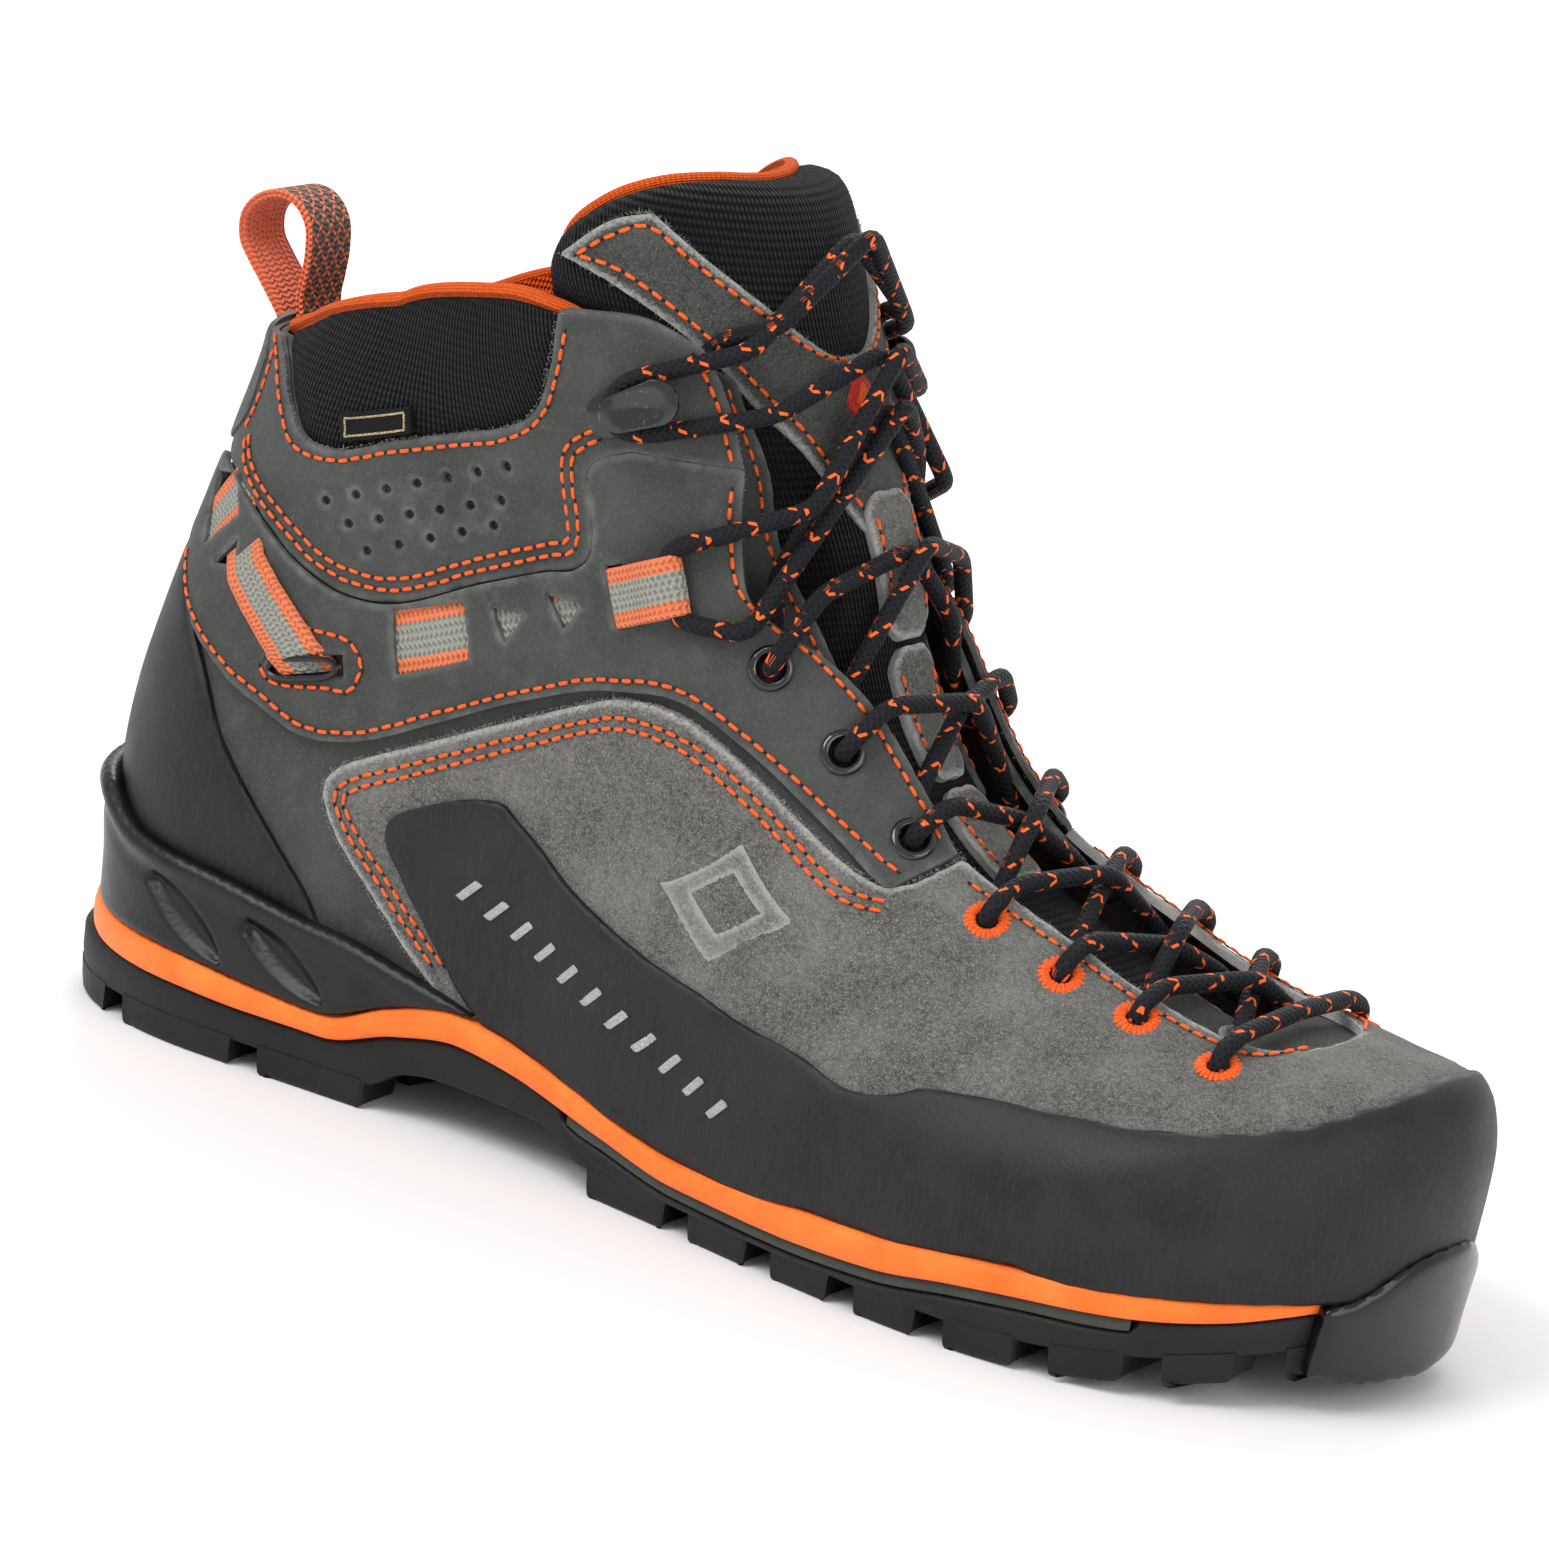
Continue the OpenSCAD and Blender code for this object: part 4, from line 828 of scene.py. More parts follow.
def metal(name, color, roughness):
    """Painted metal, scuffed here and there."""
    s = Shade(name, roughness, Metallic=0.5, Coat_Weight=0.8, Coat_Roughness=0.1)
    scuff = s.noise(900, 4, 0.7)
    clouds = s.noise(150, 3, 0.6)
    c = s.mix(s.ramp(scuff, 0.6, 0.8), color, rgb(110, 110, 112))
    worn = s.ramp(clouds, 0.5 - 3 * roughness, 0.5 + 3 * (1 - roughness))
    return s.end(c, s.bump(scuff, 0.1, 0.0001), worn)


LOOKS = {
    "nubuck": nubuck("nubuck", rgb(46, 48, 47), rgb(70, 72, 70), rgb(112, 113, 109)),
    "suede": suede("suede", rgb(58, 58, 55), rgb(100, 99, 95), rgb(150, 149, 144), rgb(170, 169, 165)),
    "tongue_suede": suede("tongue_suede", rgb(42, 43, 41), rgb(68, 69, 66), rgb(108, 109, 105),
                          rgb(158, 157, 152)),
    "pressed_suede": suede("pressed_suede", rgb(88, 88, 85), rgb(122, 121, 118), rgb(158, 157, 153),
                           rgb(158, 157, 153)),
    "dark_suede": suede("dark_suede", rgb(34, 35, 33), rgb(56, 58, 55), rgb(88, 89, 85), rgb(140, 140, 135)),
    "rand_rubber": rubber("rand_rubber", rgb(14, 14, 16), rgb(40, 41, 43), 0.5, streaks=0.7),
    "outsole_rubber": rubber("outsole_rubber", rgb(10, 10, 11), rgb(34, 34, 36), 0.55, pebble=0.15),
    "toe_rubber": rubber("toe_rubber", rgb(7, 7, 8), rgb(22, 22, 24), 0.3, coat=0.25),
    "moulded_plastic": rubber("moulded_plastic", rgb(12, 13, 15), rgb(34, 36, 39), 0.4, pebble=0.14),
    "orange_foam": foam("orange_foam", rgb(250, 106, 18), rgb(205, 70, 10), rgb(255, 126, 40)),
    "wedge_foam": foam("wedge_foam", rgb(48, 52, 46), rgb(32, 35, 30), rgb(64, 68, 60)),
    "black_mesh": knit("black_mesh", rgb(2, 2, 3), rgb(26, 27, 30)),
    "lining": knit("lining_textile", rgb(200, 62, 10), rgb(255, 108, 30), pitch=7.0, depth=0.0005),
    "footbed": knit("footbed_textile", rgb(60, 62, 66), rgb(105, 108, 112), pitch=6.0, depth=0.0004),
    "webbing": tape("webbing", rgb(150, 153, 142), rgb(255, 110, 20)),
    "pull_outside": tape("pull_outside", rgb(8, 8, 10), rgb(252, 106, 30), lattice=True),
    "pull_inside": tape("pull_inside", rgb(248, 96, 22), rgb(248, 96, 22)),
    "piping": knit("piping", rgb(222, 78, 12), rgb(255, 116, 34), pitch=9.0, depth=0.0004),
    "lace": braid("lace_cord"),
    "thread": thread("orange_thread", rgb(255, 112, 34), rgb(214, 78, 22)),
    "fibre": thread("suede_fibre", rgb(146, 145, 141), rgb(98, 97, 93)),
    # painted shade of the stitch holes, laid as small black capsules between the orange stitches
    "stitch_hole_shade": thread("stitch_hole_shade", rgb(34, 34, 36), rgb(12, 12, 13)),
    "badge": thread("badge_thread", rgb(232, 72, 40), rgb(170, 30, 40)),
    "black_metal": metal("black_metal", rgb(24, 25, 28), 0.14),
    "rivet": metal("rivet_metal", rgb(120, 120, 122), 0.35),
    "label": knit("label_satin", rgb(8, 8, 9), rgb(24, 24, 26), pitch=14.0, depth=0.0002),
    "label_edge": thread("label_edge", rgb(205, 190, 150), rgb(120, 110, 80)),
    "board": foam("board", rgb(190, 176, 140), rgb(150, 136, 100), rgb(210, 196, 160)),
    "printed": thread("raised_grey", rgb(176, 178, 178), rgb(140, 142, 142)),
}


# ------------------------------------------------------------------ stitches
# orange: the stitches; black: small capsules in the gaps between them, painted shade of the stitch holes
SEAMS, TONGUE_SEAMS = {"orange": [], "black": []}, {"orange": [], "black": []}
STITCH_LENGTH, STITCH_GAP, THREAD_R = 2.3, 0.7, 0.38
CAPSULE_RINGS = ((-1.0, 0.35), (-0.8, 0.85), (-0.3, 1.0), (0.3, 1.0), (0.8, 0.85), (1.0, 0.35))
HEXAGON = [(math.cos(k * math.pi / 3), math.sin(k * math.pi / 3)) for k in range(6)]
capsule = np.array([(x, r * a, r * b) for x, r in CAPSULE_RINGS for a, b in HEXAGON])
capsule_faces = ring_faces(6, 6)


def stitch(path, normals, seams):
    """A row of thread stitches along a 3-D path, with painted hole shade between; normals point out of the
    leather.
    """
    d = run_length(path)
    pitch = STITCH_LENGTH + STITCH_GAP
    for k in range(int(d[-1] // pitch)):
        s0 = k * pitch + STITCH_GAP / 2
        s1 = s0 + STITCH_LENGTH
        middle = (s0 + s1) / 2
        a, b, c = (along_run(s, d, path) for s in (s0, s1, middle))
        n = unit(along_run(middle, d, normals))
        x = unit(b - a)
        y = unit(np.cross(n, x))
        z = np.cross(x, y)
        c = c + RNG.uniform(-0.1, 0.1) * y
        shape = capsule * (STITCH_LENGTH / 2, THREAD_R, THREAD_R * 0.8)
        shape[:, 2] += 0.18 * (1 - capsule[:, 0] ** 2)
        seams["orange"].append(c + shape @ [x, y, z])
        # a small black capsule in each gap: painted shade of the stitch hole, where the thread goes in
        shape = capsule * (STITCH_GAP * 0.75, THREAD_R * 0.7, THREAD_R * 0.55) + (pitch / 2, 0, 0)
        seams["black"].append(c + shape @ [x, y, z])


def on_seam(points, side, d):
    """Points and normals of a smooth line at distance d from the form. d is a number or a function."""
    p, n = surface(smooth_run(points, side))
    return p + n * (d(p)[:, None] if callable(d) else d), n


def stitch_line(points, d, offset=0.0, seams=SEAMS):
    """Stitches on both sides of the boot, shifted sideways by offset in millimetres."""
    for side in (-1, 1):
        p, n = on_seam(points, side, d)
        if offset:
            t = unit(np.gradient(p, axis=0))
            p = p + np.cross(n, t) * offset * (-side)
        q = resample(np.hstack([p, n]), 0.5)
        stitch(q[:, :3], q[:, 3:], seams)


# ------------------------------------------------------------------ sole
BAND_TOP = line([(-152, 20.5), (-130, 20), (-111, 19), (-88, 17), (-72, 16.4), (-58, 21.6), (-44, 25),
                 (-35, 24), (-12, 19.6), (15, 14), (40, 15), (62, 16), (81, 18), (94, 19), (120, 20),
                 (139, 21), (156, 21)])
BAND_LOW = line([(-152, 14), (-126, 13), (-106, 12.6), (-89, 12), (-72, 12), (-56, 16.6), (-42, 19),
                 (-31, 18), (-4, 12.6), (15, 9.4), (41, 9), (63, 10), (81, 12.6), (95, 14), (115, 15),
                 (129, 16.6), (139, 18.6)])
TREAD = line([(-152, 2), (-144, 0), (75, 0), (95, 0.6), (115, 2.6), (135, 5.8), (152, 9.6)])
SLAB_LOW = line([(-152, 5), (-62, 5), (-55, 9), (-46, 10.4), (-22, 10), (-8, 5), (75, 5), (95, 5.6),
                 (115, 7.6), (135, 10.8), (152, 14.6)])
WEDGE_LOW = line([(-15.8, 14.8), (-13.8, 12.1), (-4, 9.9), (15, 6.9), (41, 6.5), (63, 7.5), (81, 10.1),
                  (95, 11.5), (114.8, 12.5), (116, 14.8)])
OUTSOLE_PLAN = [(-148.5, -12), (-143, -23), (-134, -31.5), (-121, -37), (-107, -39.5), (-75, -39), (-35, -39),
                (5, -44.5), (45, -51.5), (75, -54.5), (100, -52.7), (117, -47), (127, -40), (135, -31),
                (142.5, -18.6), (146, -10), (147, 0), (146, 9), (142.5, 17), (135, 28.6), (125, 37.5),
                (112, 44.5), (98, 49), (75, 51), (45, 49), (5, 39.5), (-35, 32.5), (-75, 34.5), (-105, 38.7),
                (-121, 37), (-134, 31.5), (-143, 23), (-148.5, 12), (-150, 0)]
BAND_PLAN = [(-148, 0), (-146.5, -12), (-141, -23), (-133, -31.5), (-121, -38), (-107, -41), (-75, -40.6),
             (-35, -40.6), (5, -46), (45, -53), (75, -56), (100, -54.2), (117, -48.5), (128, -41),
             (135, -32.5), (139.5, -24), (140.5, 0), (139.5, 22), (134.5, 30.5), (126, 39), (112, 46),
             (98, 50.5), (75, 52.7), (45, 50.7), (5, 41), (-35, 34), (-75, 36), (-105, 40.2), (-121, 38),
             (-133, 31.5), (-141, 23), (-146.5, 12)]


def wall(plan, profile, keep=None):
    """(verts, faces, uv) of a belt round a plan. The profile gives (distance out, height function) pairs."""
    loop = resample(spline(plan, closed=True, per=14), 1.6, True)
    out = outward(loop)
    if keep is not None:
        pick = keep(loop)
    along = run_length(loop)
    m, n = len(profile), len(loop)
    rows = []
    for off, height in profile:
        rows.append(at_height(loop + out * off, height(loop[:, 0])))
    verts = np.stack(rows, 1).reshape(-1, 3)
    uv = np.array([[a * 0.1, k / m] for a in along for k in range(m)])
    ccw = anticlockwise(loop)
    faces = []
    closed = keep is None
    idx = range(n) if closed else [i for i in range(n) if pick[i] and pick[(i + 1) % n]]
    for i in idx:
        j = (i + 1) % n
        for k in range(m):
            f = [i * m + k, j * m + k, j * m + (k + 1) % m, i * m + (k + 1) % m]
            faces.append(f[::-1] if ccw else f)
    if not closed:
        starts = [i for i in idx if not (pick[i - 1] and pick[i])]
        ends = [(i + 1) % n for i in idx if not pick[(i + 2) % n]]
        for i in starts:
            f = [i * m + k for k in range(m)]
            faces.append(f if ccw else f[::-1])
        for i in ends:
            f = [i * m + k for k in range(m)][::-1]
            faces.append(f if ccw else f[::-1])
        used = sorted({v for f in faces for v in f})
        new = {v: k for k, v in enumerate(used)}
        verts, uv, faces = verts[used], uv[used], [[new[v] for v in f] for f in faces]
    return verts, faces, uv


def between(a, b, k):
    """The height function at share k of the way from a to b."""
    return lambda x: a(x) * (1 - k) + b(x) * k


def graded(top, low, steps):
    """A wall profile from (distance out, share of the way down from top to low) pairs."""
    return [(off, between(top, low, k)) for off, k in steps]


def plate(loop, top, low):
    """(verts, faces, uv) of a filled plan between two height functions."""
    flat, tris = fill([loop], 5, ())
    x = flat[:, 0]
    return *thicken(at_height(flat, top(x)), at_height(flat, low(x)), tris), None


belt_steps = [(-9, 0), (-3, 0), (-1.1, 0), (-0.35, 0.05), (0, 0.14), (0.25, 0.32), (0.3, 0.5), (0.2, 0.7),
              (0, 0.86), (-0.35, 0.96), (-1, 1), (-9, 1)]
belt = wall(BAND_PLAN, graded(BAND_TOP, BAND_LOW, belt_steps))
loop = resample(spline(BAND_PLAN, closed=True, per=14), 4, True)
core = plate(loop * 0.83, lambda x: BAND_TOP(x) - 0.4, lambda x: BAND_LOW(x) + 0.4)
make_joined("midsole_band", [belt, core], "orange_foam", stands_for=("midsole",), slot="orange_foam")

slab_top = lambda x: np.where((x > -15) & (x < 115.5), WEDGE_LOW(x), BAND_LOW(x)) - 0.1
side_profile = [(-10, slab_top), (-1.2, slab_top), (-0.4, lambda x: slab_top(x) - 0.35),
                (0, lambda x: slab_top(x) - 1.0), (-0.1, between(slab_top, SLAB_LOW, 0.6)),
                (-0.5, lambda x: SLAB_LOW(x) + 0.5), (-1.3, SLAB_LOW), (-10, SLAB_LOW)]
rim = wall(OUTSOLE_PLAN, side_profile)
plan = resample(spline(OUTSOLE_PLAN, closed=True, per=14), 2.5, True)
lugs = [rim, plate(plan * (0.955, 0.86), lambda x: SLAB_LOW(x) + 2.2, lambda x: SLAB_LOW(x) + 0.05)]
TREAD_X = [(-152, -128), (-122, -93), (-87, -62), (-7, 13), (19, 34), (40, 54), (60, 74), (80, 95),
           (101, 114), (120, 130), (136, 146)]


def plan_y(x, side):
    """Half width of the outsole plan at x."""
    p = spline(OUTSOLE_PLAN, closed=True, per=14)
    p = p[p[:, 1] * side >= -0.01]
    p = p[np.argsort(p[:, 0])]
    return np.interp(x, p[:, 0], np.abs(p[:, 1]))


def lug(corners):
    """(verts, faces, uv) of one tapered, soft-edged tread block over a plan polygon."""
    poly = resample(np.array(corners, float), 1.6, True)
    out = outward(poly)
    n = len(poly)
    rings = []
    top = SLAB_LOW(poly[:, 0]) + 1.0
    low = TREAD(poly[:, 0])
    for k, inset in ((1.0, 0.0), (0.35, 0.35), (0.12, 0.6), (0.03, 1.0), (0.0, 1.6)):
        rings.append(at_height(poly - out * inset, low + (top - low) * k))
    x, y = poly.mean(0)
    verts = np.vstack(rings + [[x, y, TREAD(x)], [x, y, SLAB_LOW(x) + 1.0]])
    faces = ring_faces(5, n, ends=False)
    faces += [[4 * n + i, 4 * n + (i + 1) % n, 5 * n] for i in range(n)]
    faces += [[(i + 1) % n, i, 5 * n + 1] for i in range(n)]
    if anticlockwise(poly):
        faces = [f[::-1] for f in faces]
    return verts, faces, None


for x0, x1 in TREAD_X:
    for side in (-1, 1):
        xs = np.clip(np.linspace(x0, x1, 9), -147.5, 146)
        edge_y = plan_y(xs, side) - 0.3
        if edge_y.max() < 8:
            continue
        inner_y = 25.0
        mid_x = (x0 + x1) / 2
        deep = (x1 - x0) * 0.16
        outline_y = [(x, side * y) for x, y in zip(xs, edge_y)]
        if edge_y.min() > inner_y + 5:
            inner_run = [(x1 - 1.5, side * inner_y), (mid_x, side * (inner_y - 2)),
                         (x0 + 1.5, side * inner_y)]
            front_corner = (x1 - 1, side * (edge_y[-1] - 5))
            rear_corner = (x0 + 1 + deep, side * (edge_y[0] - 8))
            corners = outline_y + [front_corner] + inner_run + [rear_corner]
        else:
            corners = outline_y + [(min(x1, 146), side * 4), (max(x0, -147.5), side * 4)]
        lugs.append(lug(corners))
    if x0 < 0 < x1:
        lugs.append(lug([(x0 + 1, -19), (x1 - 1, -19), (x1 - 1, 18), (x0 + 1, 18)]))
    elif -147 < x0 < 115:
        lugs.append(lug([(x0 + 3, -19), (x1 - 3, -19), (x1 - 1, -11), (x1 - 3, -3), (x0 + 3, -3),
                         (x0 + 5, -11)]))
        lugs.append(lug([(x0 + 1, 2), (x1 - 5, 2), (x1 - 3, 10), (x1 - 5, 18), (x0 + 1, 18), (x0 + 3, 10)]))
make_joined("outsole_lugged", lugs, "outsole_rubber", stands_for=("outsole",), slot="outsole_rubber")

wedge_low = lambda x: WEDGE_LOW(x) + 0.05
wedge_top = lambda x: BAND_LOW(x) - 0.05
wedge_steps = [(-9, 0), (-0.6, 0), (-0.1, 0.2), (0, 0.5), (-0.1, 0.85), (-0.6, 1), (-9, 1)]
wedge = wall(OUTSOLE_PLAN, graded(wedge_top, wedge_low, wedge_steps),
             keep=lambda p: (p[:, 0] > -14.5) & (p[:, 0] < 114.5))
make_joined("forefoot_wedge_layer", [wedge], "wedge_foam", stands_for=("forefoot_wedge",), slot="wedge_foam")

# top edge of the heel cup, and the ends of the two facets pressed into each side
CUP_TOP = line([(-156, 47), (-134, 46), (-128, 43), (-121, 39.6), (-104, 37), (-82, 33.5), (-68, 32),
                (-51, 28.5), (-38, 25.5)])
FACETS = [((-114.5, 31.5), (-97, 19.6)), ((-91.5, 28.4), (-72, 18.4))]


def from_segment(p, a, b):
    """Distance from a side-view segment, and how far along it each point lies."""
    a, b = np.array(a), np.array(b)
    q = p[:, [0, 2]] - a
    t = np.clip(q @ (b - a) / ((b - a) @ (b - a)), 0, 1)
    return np.linalg.norm(q - t[:, None] * (b - a), axis=1), t


def cup_lift(p, dist):
    """A bead along the top, the two slanted facets and a flare at the back."""
    under = CUP_TOP(p[:, 0]) - p[:, 2]
    bead = 0.7 * np.exp(-((under - 2.2) / 1.9) ** 2) * np.clip((-44 - p[:, 0]) / 12, 0, 1)
    dip = -0.4 * np.exp(-((under - 6.0) / 2.2) ** 2)
    press = 0
    for a, b in FACETS:
        d, t = from_segment(p, a, b)
        width = 4.0 * np.sin(np.clip(0.12 + 0.88 * t, 0, 1) * np.pi) ** 0.7 + 0.05
        press = press - 1.9 * np.clip(1 - (d / width) ** 2, 0, 1) ** 1.6
    flare = 0.7 * np.clip((p[:, 2] - 30) / 14, 0, 1) * np.clip((-118 - p[:, 0]) / 14, 0, 1)
    return bead + dip + press + flare


cup = rear_loop([(-143, 0, 46.6), (-141, -15, 46.4), (-134, -30, 45.4), (-128, 43), (-121, 39.6), (-104, 37),
                 (-82, 33.5), (-68, 32), (-51, 28.5), (-38.5, 25.4)],
                [(-38.5, 25.4), (-44, 25.0), (-58, 21.7), (-72, 16.6), (-88, 17.1), (-111, 19.1),
                 (-130, 20.1), (-139, -19, 20.4), (-143, 0, 20.6)])
panel("heel_cup", [cup], 2.0, 4.7, "moulded_plastic", step=0.75, round_r=1.4, lift=cup_lift, level=30,
      waves=None, stands_for=("heel_stabiliser",), slot="moulded_plastic", sharp=100)
bumper = front_loop([(148, 0, 29.6), (147, -7, 29.2), (145, -13, 27), (142, -20, 22.6), (139.4, -26, 20.6)],
                    [(139.4, -26, 20.6), (139, -27, 8)], [(139, -27, 7.4), (144, -17, 5.4), (148, 0, 4.4)])
panel("toe_cap_bumper", [bumper], 1.8, 5.2, "toe_rubber", step=1.4, round_r=2.2, level=-40, waves=None,
      stands_for=("toe_bumper",), slot="toe_rubber")

# ------------------------------------------------------------------ leather and suede
FLAP_EDGE = [(52, -17, 72), (40, -17, 84), (28, -18, 97), (17, -22, 106), (9, -27, 111), (3, -30, 116),
             (-1, -29, 126), (-4, -26.5, 138), (-9.5, -27, 150), (-14, -29.5, 158.5)]
SCOOP = [(-40.5, 161), (-41, 150), (-43, 142), (-50, 136.2), (-62, 131.8), (-76, 127), (-90, 121.8),
         (-98, 122.6), (-103, 128), (-106.5, 134.5), (-110, 138.4)]
FLAP_TOP = [(-14, -29.5, 158.5), (-24, -34.5, 162.2), (-40.5, 161)]
HEEL_EDGE = [(-110, 138.4), (-119, 136.6), (-123.4, 0, 135.6)]
CUFF_LOW = [(-124, 112), (-112, 108.8), (-97, 100.2), (-90, 97.2), (-82, 95.8), (-72, 96.8), (-53, 105.4),
            (-38, 111.8)]
# first hole, step and count of each row of small holes
HOLE_ROWS = [(-90, 112, 6.8, 2.8, 7), (-84, 109, 6.8, 2.6, 6), (-79, 105, 7, 3, 5)]
PERFORATIONS = [(x + dx * k, z + dz * k) for x, z, dx, dz, count in HOLE_ROWS for k in range(count)]
# side-view place of each eyelet, and 1 where its ring is metal
EYELETS = [(111, 55, 0), (92, 58.4, 0), (76, 62.4, 0), (59, 68, 0), (40, 78, 1), (24, 91, 1), (9, 104, 1)]
EYELET_R = 2.9


def hole(x, z, r, side, n=12):
    """A round loop of (u, h) on the form."""
    a = np.linspace(0, 2 * np.pi, n, endpoint=False)
    c = place([(x, z)], side)[0]
    pu, ph = tangents(c[:1], c[1:])
    pu, ph = pu[0], ph[0]
    e1 = unit(pu)
    e2 = unit(ph - (ph @ e1) * e1)
    p = base(*c)[None] + r * (np.cos(a)[:, None] * e1 + np.sin(a)[:, None] * e2)
    return nearest_on(p, side)


def sides(build):
    """Builds a pair of pieces."""
    build(-1, "outer")
    build(1, "inner")


def quarter(side, end):
    loop = outline([(-143, 0, 20.6), (-130, 20.2), (-111, 19.2), (-88, 17.2), (-72, 16.7), (-58, 21.8),
                    (-44, 25.2), (-38, 26)], [(-38, 26), (-48, 38), (-60, 48), (-66, 56)],
                   [(-66, 56), (-60, 62), (-40, 72), (-16, 84), (-2, 84), (14, 75), (32, 66), (52, -17, 72)],
                   FLAP_EDGE, FLAP_TOP, SCOOP, HEEL_EDGE, [(-123.4, 0, 135.6), (-143, 0, 20.6)], side=side)
    loop[:, 0] = np.clip(loop[:, 0], 0, 2)
    panel("quarter_nubuck_" + end, [loop], -1.6, 0.0, "nubuck", step=2.2, level=90,
          stands_for=("quarter_" + end,), slot="nubuck")


sides(quarter)


def cuff(side, end):
    loop = outline(CUFF_LOW, [(-38, 111.8), (-31.5, 113.8), (-28.6, 118), (-29, 124), (-31, 130.5),
                              (-29.6, 134.6), (-23, 137.8)], [(-23, 137.8), (-4, -26.5, 138)], FLAP_EDGE[7:],
                   FLAP_TOP, SCOOP, HEEL_EDGE, [(-123.4, 0, 135.6), (-130, 0, 112)],
                   [(-130, 0, 112), (-124, 112)], side=side)
    loop[:, 0] = np.clip(loop[:, 0], 0, 2)
    holes = [hole(x, z, 1.0, side, 10) for x, z in PERFORATIONS]

    def lift(p, dist):
        pull = 0.35 * np.sin(p[:, 0] * 0.16 + p[:, 2] * 0.21) * np.exp(-((p[:, 0] + 34) / 16) ** 2)
        return pull * np.clip(dist / 5, 0, 1)

    panel("cuff_nubuck_" + end, [loop] + holes, 0.1, 1.45, "nubuck", step=1.8, round_r=0.9, level=130,
          lift=lift, waves=(26, 0.16), stands_for=("cuff_" + end,), slot="nubuck")


sides(cuff)


def overlay_sink(p, dist):
    """The overlay thins out under the hook, where its edge is turned in."""
    x, z = p[:, 0], p[:, 2]
    return -1.3 * np.maximum(soft_step(z, 126, 136), soft_step(-x, 21, 28) * soft_step(z, 112, 121))


# openings of the overlay that the webbing and the leather below show through
WINDOWS = [[(-70.6, 95.6), (-55, 101.4), (-52, 91), (-68, 83.8)], [(-48.5, 102), (-41, 102.6), (-45, 95.8)],
           [(-36.5, 107.4), (-28.8, 107.8), (-32, 102)], [(-114.5, 93), (-109.4, 99), (-109.2, 94.2)],
           [(-98, 79.2), (-80.6, 84.4), (-79.8, 80.4), (-96.4, 75.8)],
           [(-24.4, 116), (-20.8, 117.4), (-16.4, 106.8), (-20, 105.4)],
           [(-123, 107.4), (-113.6, 110.4), (-110.4, 103.6), (-119.6, 94.8)]]


def overlay(side, end):
    front = [(47, -18, 76)] + FLAP_EDGE[1:8]
    loop = outline([(-126, 91), (-118, 80.4), (-111, 76), (-99, 70.4), (-87, 67), (-75, 69), (-58, 77),
                    (-41, 85.5), (-20, 93.4), (-3, 95), (8, 90), (18, 84), (31, 75.8), (41, 70)],
                   [(41, 70), (47, -18, 76)], front, [(-4, -26.5, 138), (-23, 137.8)],
                   [(-23, 137.8), (-29.6, 134.6), (-31, 130.5), (-29, 124), (-28.4, 117.6), (-31.5, 113.4),
                    (-38, 111.4), (-53, 105), (-72, 96.4), (-82, 95.4), (-90, 96.8), (-97, 99.8),
                    (-112, 108.4), (-122, 111.4)],
                   [(-122, 111.4), (-127, -12, 108), (-129, -8, 100), (-126, 91)], side=side)
    windows = [polygon(corners, side) for corners in WINDOWS]
    eyes = [hole(x, z, EYELET_R, side) for x, z, kind in EYELETS if kind]
    panel("overlay_nubuck_" + end, [loop] + windows + eyes, 1.2, 2.5, "nubuck", step=1.7, round_r=1.0,
          level=100, lift=overlay_sink, waves=(28, 0.14), stands_for=("overlay_" + end,), slot="nubuck")


sides(overlay)

THROAT = [(48, -17.5, 75), (60, -17, 70), (76, -17, 66), (92, -17, 62), (106, -17, 59), (113, -16, 57.6),
          (119, -11, 57.6), (122, 0, 58.6)]
WING = [(48, -17.5, 75), (41, 70.6), (35, 72), (17, 82), (3, 90), (-4, 92.6), (-16, 92.6), (-26, 89),
        (-47, 79), (-70, 67.6), (-78, 63), (-80.6, 59), (-77.6, 52), (-67, 42), (-59, 35), (-50, 28),
        (-46.5, 25.4)]
FOOT_LINE = [(-46.5, 25.4), (-35, 24.2), (-12, 19.8), (15, 14.2), (40, 15.2), (62, 16.2), (81, 18.2),
             (94, 19.2), (120, 20.2), (136, -31, 21), (143, -16, 21.2), (146.5, 0, 21.4)]
vamp = front_loop(THROAT[::-1], WING, FOOT_LINE)
vamp_eyes = [hole(x, z, EYELET_R, s) for x, z, kind in EYELETS if not kind for s in (-1, 1)]

# middle of the diamond pressed into the suede of each side
DIAMOND = (13.5, 62)


def vamp_lift(p, dist):
    """Crease lines where the toes bend, and the diamond: a pressed frame round a raised middle."""
    crease = 0.28 * np.sin(p[:, 0] * 0.42 + np.abs(p[:, 1]) * 0.1) * np.exp(-((p[:, 0] - 66) / 20) ** 2)
    crease = crease * np.clip((p[:, 2] - 40) / 14, 0, 1)
    k = np.abs(p[:, 0] - DIAMOND[0]) / 15.2 + np.abs(p[:, 2] - DIAMOND[1]) / 11.6
    pressed = -0.35 * np.clip((1 - k) * 6, 0, 1) + 0.3 * np.clip((0.55 - k) * 8, 0, 1)
    return crease * np.clip(dist / 5, 0, 1) + pressed


